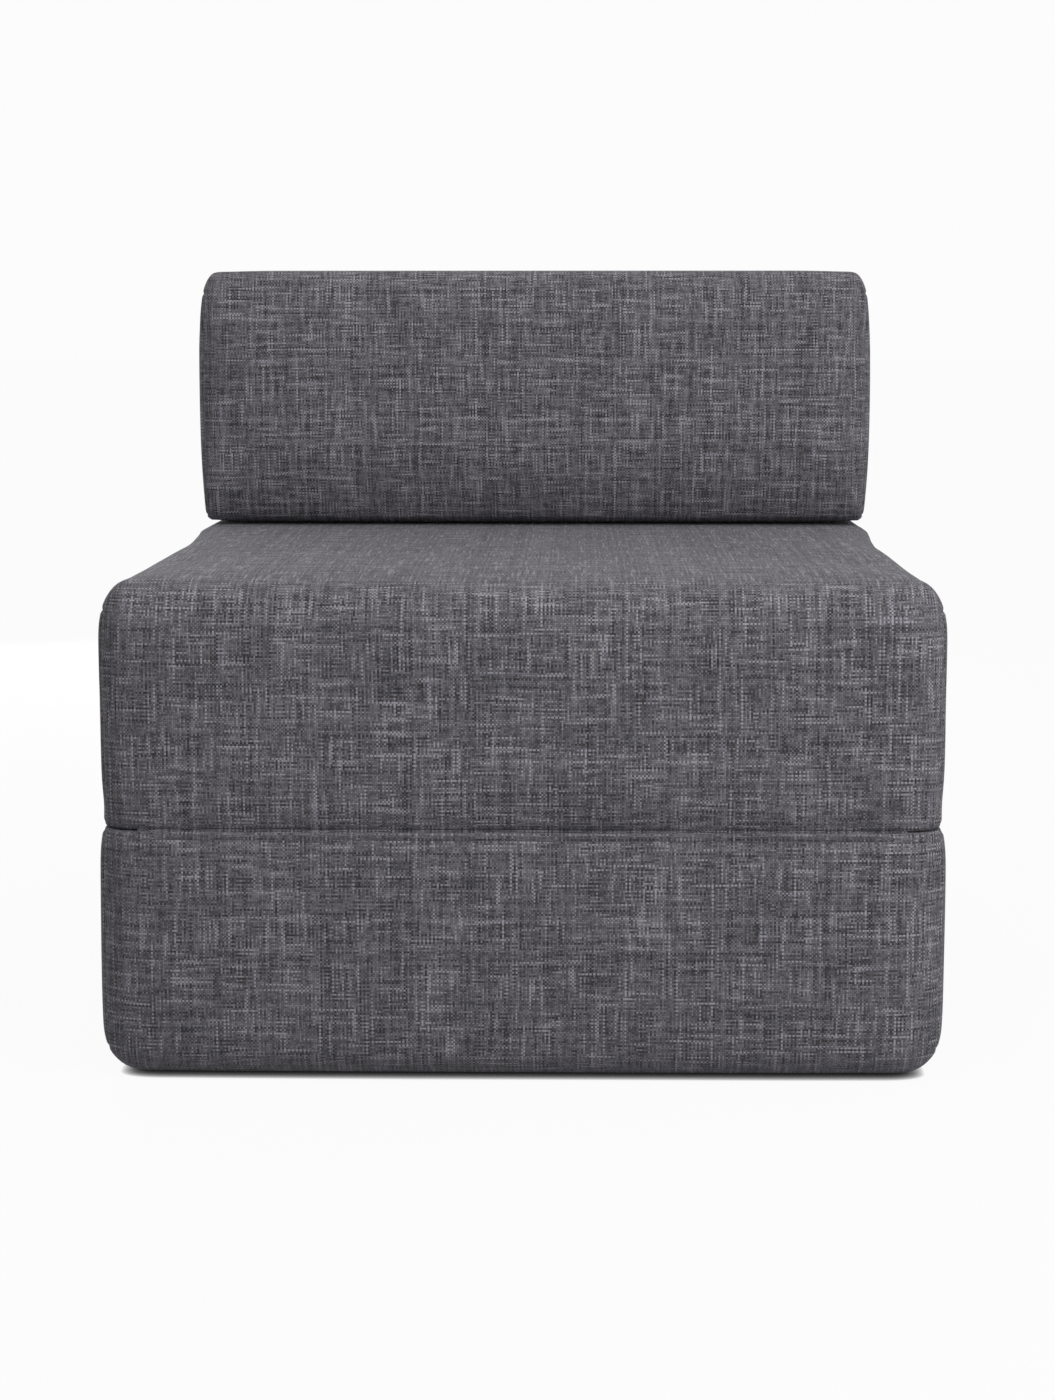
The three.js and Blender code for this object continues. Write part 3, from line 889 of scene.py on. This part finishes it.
def material_nodes(name):
    return Nodes(bpy.data.materials.new(name))


def grey(level, warm=0.0):
    """A colour of that level, a little redder and bluer than green as the yarn is."""
    red, green, blue = YARN_TINT
    return (level * (red + warm), level * green, level * (blue - warm), 1)


def yarn_tone(nodes, across, along, seed):
    """How bright the thread under a point is, from its own tone and its thick and thin places."""
    thread = nodes.math("FLOOR", across)
    own = nodes.white(nodes.math("ADD", thread, seed))
    apart = nodes.math("MULTIPLY_ADD", thread, THREAD_APART, seed)
    slow = nodes.noise(nodes.vector(apart, nodes.math("DIVIDE", along, SLUB_THREADS)), detail=1)
    quick = nodes.noise(nodes.vector(apart, nodes.math("DIVIDE", along, QUICK_THREADS)), detail=1)
    slub = nodes.ramp(slow, *SLUB_RANGE)
    tone = nodes.math("MULTIPLY", own, OWN_SHARE)
    tone = nodes.math("MULTIPLY_ADD", slub, SLUB_SHARE, tone)
    tone = nodes.math("MULTIPLY_ADD", nodes.ramp(slow, *THIN_RANGE), -THIN_SHARE, tone)
    return nodes.math("MULTIPLY_ADD", nodes.ramp(quick, *QUICK_RANGE), QUICK_SHARE, tone), slub


def spun_fibre(nodes, across, along):
    """The fine fibres of a yarn, which lean round it with its twist."""
    lean = nodes.math("MULTIPLY", along, YARN_TWIST)
    lean = nodes.math("MULTIPLY_ADD", across, FIBRES_ACROSS, lean)
    return nodes.noise(nodes.vector(lean, along), detail=2, rough=FIBRE_ROUGHNESS)


def melange(name, level, seed):
    """Plain weave of uneven dark and pale yarn, from the places that the mesh carries."""
    nodes = material_nodes(name)
    u, v, _ = nodes.weave_place()
    u = nodes.math("DIVIDE", u, YARN)
    v = nodes.math("DIVIDE", v, YARN)
    sway = nodes.noise(nodes.place(), scale=WEAVE_SCALE, detail=1)
    u = nodes.math("MULTIPLY_ADD", sway, SWAY_THREADS, u)
    v = nodes.math("MULTIPLY_ADD", sway, -SWAY_THREADS, v)
    warp, warp_slub = yarn_tone(nodes, u, v, seed)
    weft, weft_slub = yarn_tone(nodes, v, u, seed + WEFT_APART)
    cell = nodes.math("ADD", nodes.math("FLOOR", u), nodes.math("FLOOR", v))
    turn = nodes.math("MULTIPLY_ADD", nodes.math("FLOORED_MODULO", cell, 2), 2, -1)
    round_u = nodes.math("SINE", nodes.math("MULTIPLY", nodes.math("FRACT", u), math.pi))
    round_v = nodes.math("SINE", nodes.math("MULTIPLY", nodes.math("FRACT", v), math.pi))
    thicker = nodes.math("SUBTRACT", warp_slub, weft_slub)
    lead = nodes.math("MULTIPLY", nodes.math("ADD", round_u, round_v), turn)
    lead = nodes.math("MULTIPLY_ADD", thicker, SLUB_COVER, lead)
    warp_over = nodes.math("GREATER_THAN", lead, 0)
    tone = nodes.choose(warp_over, weft, warp)
    above = nodes.math("MINIMUM", nodes.math("ABSOLUTE", lead), 1)
    upper = nodes.choose(warp_over, round_v, round_u)
    relief = nodes.math("SQRT", nodes.math("MULTIPLY", above, upper))
    fibre = nodes.choose(warp_over, spun_fibre(nodes, v, u), spun_fibre(nodes, u, v))
    tone = nodes.math("MULTIPLY_ADD", fibre, FIBRE_SHARE, tone)
    # painted shade in the gaps of the weave: each thread is darker where it dives under the next
    tone = nodes.math("MULTIPLY", tone, nodes.ramp(relief, 0, GAP_SHADE_END, GAP_SHADE_SHARE, 1))
    tint = nodes.noise(nodes.place(), scale=TINT_SCALE, detail=1)
    dark = level * DARK_YARN
    pale = level * PALE_YARN
    dark = nodes.mix(tint, grey(dark, DARK_TINT), grey(dark, -DARK_TINT))
    pale = nodes.mix(tint, grey(pale, -PALE_TINT), grey(pale, PALE_TINT))
    nodes.colour(nodes.mix(nodes.ramp(tone, DARK_TONE, PALE_TONE), dark, pale))
    slubs = nodes.math("MAXIMUM", warp_slub, weft_slub)
    height = nodes.math("MULTIPLY_ADD", slubs, SLUB_RELIEF_SHARE, relief)
    nodes.bump(height, YARN_RELIEF, YARN_RELIEF_SHARE)
    return nodes.finish(CLOTH_ROUGHNESS, sheen=CLOTH_SHEEN)


def surface(name, base, spread, coarse, fine, roughness, depth, sheen=0):
    """A material whose tone drifts slowly and varies finely, with a fine relief."""
    nodes = material_nodes(name)
    slow = nodes.noise(nodes.place(), scale=coarse, detail=3)
    quick = nodes.noise(nodes.place(), scale=fine, detail=4, rough=FINE_ROUGHNESS)
    tone = nodes.math("DIVIDE", nodes.math("ADD", slow, quick), 2)
    low = [part * (1 - spread) for part in base]
    high = [part * (1 + spread) for part in base]
    nodes.colour(nodes.mix(nodes.ramp(tone, *TONE_RANGE), (*low, 1), (*high, 1)))
    nodes.bump(quick, depth)
    return nodes.finish(roughness, sheen)


def brushed_metal():
    """Dark nickel with fine drag marks and worn, brighter places."""
    nodes = material_nodes("zip_nickel")
    parts = zip(nodes.split(nodes.place()), DRAG_SCALE)
    drag = nodes.vector(*[nodes.math("MULTIPLY", part, scale) for part, scale in parts])
    marks = nodes.noise(drag, detail=3, rough=DRAG_ROUGHNESS)
    wear = nodes.noise(nodes.place(), scale=WEAR_SCALE, detail=3)
    nodes.colour(nodes.mix(nodes.ramp(wear, *WORN_RANGE), NICKEL, WORN_NICKEL))
    shine = nodes.ramp(marks, *DRAG_RANGE, *METAL_ROUGHNESS)
    nodes.join(shine, nodes.shader.inputs["Roughness"])
    nodes.bump(marks, DRAG_DEPTH)
    nodes.shader.inputs["Metallic"].default_value = 1
    return nodes.owner


def woven_tape():
    """The zip's tape: ribs across it, and a herringbone of fine yarn."""
    nodes = material_nodes("zip_tape")
    x, _, z = nodes.split(nodes.place())
    rib = nodes.math("SINE", nodes.math("MULTIPLY", x, 2 * math.pi / TAPE_RIB))
    lean = nodes.math("PINGPONG", z, TAPE_RIB * HERRINGBONE)
    lean = nodes.math("MULTIPLY", nodes.math("ADD", x, lean), 2 * math.pi / TAPE_RIB)
    slant = nodes.math("SINE", lean)
    yarn = nodes.noise(nodes.place(), scale=TAPE_SCALE, detail=2)
    tone = nodes.math("MULTIPLY_ADD", yarn, TAPE_YARN_SHARE, TAPE_TONE)
    tone = nodes.math("MULTIPLY_ADD", slant, TAPE_SLANT_SHARE, tone)
    nodes.colour(nodes.mix(nodes.ramp(tone, *TAPE_RANGE), grey(TAPE_DARK), grey(TAPE_PALE)))
    nodes.bump(nodes.math("ADD", rib, slant), TAPE_RELIEF, TAPE_RELIEF_SHARE)
    return nodes.finish(TAPE_ROUGHNESS, sheen=TAPE_SHEEN)


# The covers

def base_shape():
    head = edges(CREASE, FRONT_CREASE_BELOW, CREASE)
    sole = edges(ROUND_FLOOR, FRONT_FLOOR, ROUND_FLOOR)
    shape = cushion("base", BLOCK_CORNER, head, BASE_TOP_DRAW, sole, NO_DRAW, NO_RISE, 0)
    shape.recess = node_box("base_underside_panel")
    shape.warp_start = 0
    shape.loaded_from = shape.front
    return shape


def seat_shape(base, back):
    head = edges(SIDE_TOP, ROUND_TOP, CREASE)
    sole = edges(CREASE, FRONT_CREASE_ABOVE, CREASE)
    shape = cushion("seat", BLOCK_CORNER, head, SEAT_TOP_DRAW, sole, SEAT_FOOT_DRAW, NO_RISE,
                    SEAT_SETTLED)
    shape.crown["side"] = SEAT_SIDE_CROWN
    shape.pressed_share = PRESSED_SHARE
    shape.warp_start = base.top - base.foot
    shape.loaded_from = back.front - PRESSED_AHEAD
    return shape


def back_shape():
    head = edges(BACK_TOP, BACK_TOP, BACK_TOP)
    sole = edges(BACK_FOOT, BACK_FOOT_FRONT, CREASE)
    shape = cushion("back", BACK_CORNER, head, BACK_TOP_DRAW, sole, BACK_FOOT_DRAW, BACK_RISE,
                    BACK_SETTLED)
    shape.sag = BACK_SAG
    shape.warp_start = 0
    shape.loaded_from = shape.front
    return shape


def add_cover(shape, seed, cloth):
    grid = Grid(shape)
    co = np.array(grid.points)
    co = blown_up(co, grid.quads(), held_vertices(grid))
    obj = cover_object(grid, co, seed)
    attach(obj, shape.name)
    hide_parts(f"{shape.name}_cover")
    obj.data.materials.append(cloth)
    return obj


# The filling

def new_object(name, points, faces, body, materials):
    """A piece from its points and faces that rides on a body."""
    obj = mesh_object(name, points, faces)
    obj.data.shade_smooth()
    for material in materials:
        obj.data.materials.append(material)
    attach(obj, body)
    return obj


def ring_quads(start, count, turned=False):
    """Quads between one closed ring of points and the next."""
    quads = []
    for n in range(count):
        a = start + n
        b = start + (n + 1) % count
        quad = (a, b, b + count, a + count)
        quads.append(quad[::-1] if turned else quad)
    return quads


def add_foam(cover, material):
    grid = Grid(filling(cover, f"{cover.name}_foam_core"))
    obj = new_object(f"{cover.name}_foam_block", grid.points, grid.quads(), cover.name,
                     [material])
    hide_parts(f"{cover.name}_foam_core")


def section(shape, zip_box):
    """Points round the filling as seen from the side: up the rear and down the front.
    The rear stands back behind the zip."""
    height = shape.edge_top - shape.foot
    turns = [math.pi * k / SECTION_STEPS for k in range(SECTION_STEPS + 1)]
    levels = [shape.foot + height * (1 - math.cos(turn)) / 2 for turn in turns]
    front = [(shape.front + inset_at(shape, "front", z), z) for z in levels]
    levels.extend((zip_box.foot, zip_box.top, zip_box.foot - ZIP_ROOM, zip_box.top + ZIP_ROOM))
    rear = []
    for z in sorted(levels):
        y = shape.rear - inset_at(shape, "rear", z)
        behind = zip_box.foot <= z <= zip_box.top
        rear.append((min(y, zip_box.front - ZIP_ROOM) if behind else y, z))
    return rear + front[::-1]


def spread_loop(loop, gap):
    """The closed loop again, with points at most one gap apart."""
    points = []
    for here, there in zip(loop, loop[1:] + loop[:1]):
        count = max(1, math.ceil(math.dist(here, there) / gap))
        for i in range(count):
            points.append([a + (b - a) * i / count for a, b in zip(here, there)])
    return points


def shrunk(loop, middle, shares):
    return [[m + (value - m) * share for value, m, share in zip(point, middle, shares)] for point in loop]


def add_wadding(cover, material):
    """A sleeve of wadding round the foam from front to rear, open at both sides."""
    name = cover.name
    shape = filling(cover, f"{name}_wadding_sleeve")
    core = node_box(f"{name}_foam_core")
    outer = spread_loop(section(shape, cover.zip), WADDING_CELL)
    middle = ((shape.front + shape.rear) / 2, (shape.foot + shape.top) / 2)
    shares = ((core.rear - core.front) / (shape.rear - shape.front),
              (core.top - core.foot) / (shape.top - shape.foot))
    columns = round(2 * shape.half / WADDING_CELL)
    around = len(outer)
    points = []
    for loop, depth in ((outer, WADDING_LOFT), (shrunk(outer, middle, shares), 0)):
        for c in range(columns + 1):
            x = shape.half * (2 * c / columns - 1)
            for y, z in loop:
                loft = 1 - abs(depth * noise.noise(Vector((x, y, z)) / WADDING_LUMP))
                points.append((x, *shrunk([(y, z)], middle, (loft, loft))[0]))
    faces = []
    inside = around * (columns + 1)
    for c in range(columns):
        faces.extend(ring_quads(c * around, around))
        faces.extend(ring_quads(inside + c * around, around, True))
    for c, turned in ((0, True), (columns, False)):
        for k in range(around):
            a = c * around + k
            b = c * around + (k + 1) % around
            rim = (a, b, inside + b, inside + a)
            faces.append(rim[::-1] if turned else rim)
    obj = new_object(f"{name}_wadding_wrap", points, faces, name, [material])
    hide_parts(f"{name}_wadding_sleeve")


# The underside

def panel_mesh(box):
    """Points and faces of the flat panel, with its lower face at the roots of the dots."""
    middle = (box.front + box.rear) / 2
    half_depth = (box.rear - box.front) / 2
    across = round(2 * box.half / GRIP_CELL)
    along = round(2 * half_depth / GRIP_CELL)
    points = []
    faces = []
    for z in (GRIP_DOT_HEIGHT, box.top):
        for j in range(along + 1):
            for i in range(across + 1):
                x = box.half * (2 * i / across - 1)
                y = middle + half_depth * (2 * j / along - 1)
                points.append((x, y, z))
    layer = (across + 1) * (along + 1)
    for j in range(along):
        for i in range(across):
            a = j * (across + 1) + i
            quad = (a, a + across + 1, a + across + 2, a + 1)
            faces.append(quad)
            faces.append(tuple(layer + v for v in quad[::-1]))
    border = [(i, 0) for i in range(across)] + [(across, j) for j in range(along)]
    border += [(i, along) for i in range(across, 0, -1)] + [(0, j) for j in range(along, 0, -1)]
    ring = [j * (across + 1) + i for i, j in border]
    for a, b in zip(ring, ring[1:] + ring[:1]):
        faces.append((a, b, layer + b, layer + a))
    return points, faces


def add_underside(cloth):
    """The grip cloth panel with its rows of raised dots, every other row set half a step on."""
    box = node_box("base_underside_panel")
    points, faces = panel_mesh(box)
    middle = (box.front + box.rear) / 2
    half_depth = (box.rear - box.front) / 2
    last_y = middle + half_depth - GRIP_MARGIN
    count_x = round(2 * (box.half - GRIP_MARGIN) / GRIP_PITCH)
    count_y = round(2 * (half_depth - GRIP_MARGIN) / GRIP_PITCH)
    for j in range(count_y + 1):
        for i in range(count_x + 1):
            x = (i - count_x / 2) * GRIP_PITCH
            y = middle + (j - count_y / 2) * GRIP_PITCH + (i % 2) * GRIP_PITCH / 2
            add_dot(points, faces, x, min(y, last_y), GRIP_DOT_HEIGHT)
    obj = new_object("base_underside_cloth", points, faces, "base", [cloth])
    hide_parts("base_underside_panel")


def add_dot(points, faces, x, y, z):
    """One round grip dot that stands down from the panel."""
    start = len(points)
    for share, drop in DOT_RINGS:
        for k in range(DOT_SIDES):
            turn = 2 * math.pi * k / DOT_SIDES
            r = GRIP_DOT_RADIUS * share
            points.append((x + r * math.cos(turn), y + r * math.sin(turn), z - GRIP_DOT_HEIGHT * drop))
    points.append((x, y, z - GRIP_DOT_HEIGHT))
    for quad in ring_quads(start, DOT_SIDES, True):
        faces.append(quad)
        faces.append((quad[1], quad[0], start + 2 * DOT_SIDES))


# Zips

def tube(points, faces, path, radius, sides):
    """Adds a closed round tube along a path."""
    start = len(points)
    path = [Vector(p) for p in path]
    for k, here in enumerate(path):
        ahead = path[min(k + 1, len(path) - 1)] - path[max(k - 1, 0)]
        across = ahead.cross(Vector((0, 1, 0)))
        if across.length < TINY:
            across = ahead.cross(Vector((1, 0, 0)))
        across.normalize()
        up = ahead.cross(across).normalized()
        thin = END_TAPER if k in (0, len(path) - 1) else 1
        for n in range(sides):
            turn = 2 * math.pi * n / sides
            points.append(here + (across * math.cos(turn) + up * math.sin(turn)) * radius * thin)
    for k in range(len(path) - 1):
        faces.extend(ring_quads(start + k * sides, sides))
    last = start + (len(path) - 1) * sides
    faces.append(tuple(start + n for n in range(sides))[::-1])
    faces.append(tuple(last + n for n in range(sides)))


def tape_profile(reach, thickness):
    """Half of the tape across, from its outer edge to the cord that the coil is sewn to."""
    profile = [(reach * z, thickness * y) for z, y in TAPE_PROFILE]
    return profile + [(TAPE_GAP, thickness * CORD_SHARE), (TAPE_GAP, 0)]


def add_zip(shape, tape_cloth, nylon):
    """The two tapes, and the coil's teeth, which lock into each other."""
    box = shape.zip
    reach = (box.top - box.foot) / 2
    points = []
    faces = []
    columns = round(2 * box.half / TAPE_CELL)
    profile = tape_profile(reach, TAPE_THICKNESS)
    size = len(profile)
    for side in (-1, 1):
        start = len(points)
        for c in range(columns + 1):
            x = box.half * (2 * c / columns - 1)
            points.extend((x, box.front + y, shape.zip_z + side * z) for z, y in profile)
        for c in range(columns):
            faces.extend(ring_quads(start + c * size, size, side > 0))
        for c, turned in ((0, side < 0), (columns, side > 0)):
            end = tuple(start + c * size + k for k in range(size))
            faces.append(end[::-1] if turned else end)
    tape_faces = len(faces)
    teeth = round(2 * shape.slot_half / TOOTH_PITCH)
    for i in range(2 * teeth):
        x = shape.slot_half * (i / teeth - 1)
        side = 1 if i % 2 else -1
        path = [(x, box.front + y, shape.zip_z + side * z) for z, y in TOOTH_PATH]
        tube(points, faces, path, TOOTH_RADIUS, TOOTH_SIDES)
    obj = new_object(f"{shape.name}_zip_tape", points, faces, shape.name,
                     [tape_cloth, nylon])
    for face in obj.data.polygons[tape_faces:]:
        face.material_index = 1
    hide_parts(f"{shape.name}_zip_chain")


def surface_y(cover, x, z, way):
    """Where a cover's front (way -1) or rear (way 1) face is at x and z."""
    _, spot, _, _ = cover.ray_cast((x, way * RAY_START, z), (0, -way, 0))
    return spot.y


def add_stitches(shape, cover, thread):
    """Two rows of stitches that hold the tape behind the edges of the slot."""
    points = []
    faces = []
    count = round(2 * shape.slot_half / STITCH_PITCH)
    for way in (-1, 1):
        z = shape.zip_z + way * (SLOT_HALF_HEIGHT + STITCH_SET_BACK)
        for i in range(count):
            x = shape.slot_half * (2 * (i + 0.5) / count - 1)
            path = []
            for share, sink in STITCH_PATH:
                place = x + share * STITCH_LENGTH / 2
                path.append((place, surface_y(cover, place, z, 1) + STITCH_RADIUS * sink, z))
            tube(points, faces, path, STITCH_RADIUS, TOOTH_SIDES)
    new_object(f"{shape.name}_zip_stitches", points, faces, shape.name, [thread])


def bevelled(node, body, metal):
    """A copy of a metal CAD node with its edges eased, which stands for it."""
    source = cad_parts[node]
    mesh = source.data.copy()
    mesh.materials.clear()
    mesh.materials.append(metal)
    obj = in_scene(f"{node}_metal", mesh)
    edit = bmesh.new()
    edit.from_mesh(mesh)
    bmesh.ops.remove_doubles(edit, verts=edit.verts, dist=METAL_WELD)
    bmesh.ops.dissolve_limit(edit, angle_limit=METAL_FLAT, verts=edit.verts, edges=edit.edges)
    sharp = [e for e in edit.edges if e.is_manifold and e.calc_face_angle() > METAL_SHARP]
    bmesh.ops.bevel(edit, geom=sharp, offset=METAL_BEVEL, segments=BEVEL_STEPS, profile=BEVEL_ROUND,
                    affect="EDGES", clamp_overlap=True)
    bmesh.ops.recalc_face_normals(edit, faces=edit.faces)
    edit.to_mesh(mesh)
    edit.free()
    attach(obj, body)
    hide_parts(node)


# The straps of the folds

def strap_points(node, lower, upper, fold, mouth, way):
    """Columns of points that lie on both covers and dip into the valley between them."""
    reach = mouth + STRAP_REACH
    columns = round(2 * node.half / CELL)
    points = []
    for c in range(columns + 1):
        x = node.half * (2 * c / columns - 1)
        below = surface_y(lower, x, fold - mouth, way)
        above = surface_y(upper, x, fold + mouth, way)
        for r in range(STRAP_ROWS + 1):
            off = reach * (2 * r / STRAP_ROWS - 1)
            if abs(off) >= mouth:
                y = surface_y(lower if off < 0 else upper, x, fold + off, way)
            else:
                share = (off / mouth + 1) / 2
                dip = STRAP_DIP * math.exp(-((off / STRAP_DIP_WIDTH) ** 2))
                y = below + (above - below) * share - way * dip
            proud = STRAP_PROUD if r not in (0, STRAP_ROWS) else -STRAP_BURY
            points.append((x, y + way * proud, fold + off))
    return points


def strap_mesh(name, points, way, threads):
    """The strap's object, with the weave laid along its columns."""
    rows = STRAP_ROWS + 1
    faces = []
    for c in range(len(points) // rows - 1):
        for r in range(STRAP_ROWS):
            a = c * rows + r
            quad = (a, a + rows, a + rows + 1, a + 1)
            faces.append(quad if way < 0 else quad[::-1])
    obj = mesh_object(name, points, faces)
    weave = obj.data.uv_layers.new(name="weave")
    for loop in obj.data.loops:
        c, r = divmod(loop.vertex_index, rows)
        weave.data[loop.index].uv = (points[c * rows][0], threads[r])
    return obj


def add_strap(name, lower, upper, low_shape, high_shape, way, cloth):
    """The cloth that runs across a fold from one cover to the next, laid in the valley between."""
    node = node_box(name)
    fold = (low_shape.edge_top + high_shape.foot) / 2
    mouth = STRAP_MOUTH + (high_shape.foot - low_shape.edge_top) / 2
    turns = fold - mouth - STRAP_TURN
    points = strap_points(node, lower, upper, fold, mouth, way)
    rows = STRAP_ROWS + 1
    middle = (len(points) // rows - 1) // 2 * rows
    column = points[middle:middle + rows]
    lengths = lengths_along(np.array(column))
    slack = [STRAP_SLACK if turns <= z < fold - mouth else 1 for _, _, z in column[:-1]]
    threads = np.concatenate([[0], np.cumsum(np.diff(lengths) * slack)])
    start_warp = low_shape.warp_start + low_shape.top - low_shape.foot
    obj = strap_mesh(f"{name}_cloth", points, way, start_warp + threads)
    # the strap's darker tone is in part its own cloth and in part painted shade of the crease
    obj.data.materials.append(cloth)
    thick = obj.modifiers.new("thick", "SOLIDIFY")
    thick.thickness = STRAP_THICKNESS
    refined(obj).shade_smooth()
    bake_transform(obj)
    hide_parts(name)


# The set

def add_floor():
    """A pale floor that the camera sees as the white of the backdrop. Its lit share keeps the real
    shadow, and its glow is dimmed by ambient occlusion near the chair, a painted contact shadow.
    """
    corners = [(-FLOOR, -FLOOR, 0), (FLOOR, -FLOOR, 0), (FLOOR, FLOOR, 0), (-FLOOR, FLOOR, 0)]
    floor = mesh_object("floor", corners, [(0, 1, 2, 3)])
    nodes = material_nodes("floor")
    nodes.colour((FLOOR_LEVEL, FLOOR_LEVEL, FLOOR_LEVEL, 1))
    plain = nodes.shader.outputs[0]
    reach = nodes.new("AmbientOcclusion")
    reach.samples = SHADOW_SAMPLES
    reach.inputs["Distance"].default_value = SHADOW_REACH
    glow = nodes.new("Emission")
    # painted shadow: the glow darkens with ambient occlusion close to the chair
    white = nodes.math("MULTIPLY", nodes.math("POWER", reach.outputs["AO"], SHADOW_POWER), FLOOR_GLOW)
    nodes.join(white, glow.inputs["Strength"])
    bright = nodes.new("MixShader", FLOOR_GLOW_SHARE, plain, glow.outputs[0])
    whole = nodes.new("MixShader", nodes.seen(), plain, bright.outputs[0])
    nodes.join(whole.outputs[0], nodes.tree.nodes["Material Output"].inputs["Surface"])
    floor.data.materials.append(nodes.finish(FLOOR_ROUGHNESS))


def add_world():
    """White where it is seen, and plain soft light everywhere else."""
    nodes = Nodes(bpy.data.worlds.new("studio"))
    bpy.context.scene.world = nodes.owner
    background = nodes.tree.nodes["Background"]
    background.inputs["Color"].default_value = (1, 1, 1, 1)
    strength = nodes.new("MapRange", nodes.seen(), 0, 1, WORLD_LIGHT, BACKDROP)
    nodes.join(strength.outputs[0], background.inputs["Strength"])


def add_soft_box(name, strength, place):
    """A square studio lamp that faces the chair."""
    lamp = bpy.data.lights.new(name, "AREA")
    lamp.energy = strength
    lamp.size = SOFT_BOX
    obj = in_scene(name, lamp)
    obj.location = place
    aim = Vector(LIGHT_AIM) - Vector(place)
    obj.rotation_euler = aim.to_track_quat("-Z", "Y").to_euler()


def add_camera():
    lens = bpy.data.cameras.new("camera")
    lens.lens = CAMERA_LENS_MM
    lens.sensor_width = SENSOR_MM
    camera = in_scene("camera", lens)
    camera.location = CAMERA_PLACE
    camera.rotation_euler = (math.pi / 2 - CAMERA_DOWN, 0, CAMERA_LEFT)
    bpy.context.scene.camera = camera


scene = bpy.context.scene
scene.view_settings.view_transform = "Standard"
add_camera()
add_world()
add_floor()
add_soft_box("side_light", SIDE_LIGHT, SIDE_LIGHT_PLACE)
add_soft_box("top_light", TOP_LIGHT, TOP_LIGHT_PLACE)
add_soft_box("rear_light", REAR_LIGHT, REAR_LIGHT_PLACE)

back = back_shape()
base = base_shape()
seat = seat_shape(base, back)
melange_cloth = melange("charcoal_melange", CLOTH_LEVEL, CLOTH_SEED)
# painted light: the back cushion gets a lighter copy of the cover cloth, for the light it lacks
back_cloth_painted_light = melange("back_melange_painted_light", BACK_PAINTED_LIGHT_LEVEL, BACK_SEED)
# darker melange for the fold straps: their own darker cloth, with painted shade of the creases added
strap_dark_cloth_and_shade = melange("strap_melange_dark_and_shade", STRAP_DARK_AND_SHADE_LEVEL, CLOTH_SEED)
foam = surface("cream_foam", **FOAM)
wadding = surface("white_wadding", **WADDING)
nylon = surface("coil_nylon", **NYLON)
thread = surface("thread", **THREAD)
grip = surface("grip_cloth", **GRIP)
tape_cloth = woven_tape()
metal = brushed_metal()

covers = {}
cloths = {"base": melange_cloth, "seat": melange_cloth, "back": back_cloth_painted_light}
for seed, shape in enumerate((base, seat, back), COVER_SEED):
    covers[shape.name] = add_cover(shape, seed, cloths[shape.name])
bpy.context.view_layer.update()
for shape in (base, seat, back):
    add_foam(shape, foam)
    add_wadding(shape, wadding)
    add_zip(shape, tape_cloth, nylon)
    add_stitches(shape, covers[shape.name], thread)
    bevelled(f"{shape.name}_zip_slider", f"{shape.name}_slider", metal)
    bevelled(f"{shape.name}_zip_pull", f"{shape.name}_pull", metal)
add_underside(grip)
add_strap("front_fold_strap", covers["base"], covers["seat"], base, seat, -1, strap_dark_cloth_and_shade)
add_strap("rear_fold_strap", covers["seat"], covers["back"], seat, back, 1, strap_dark_cloth_and_shade)
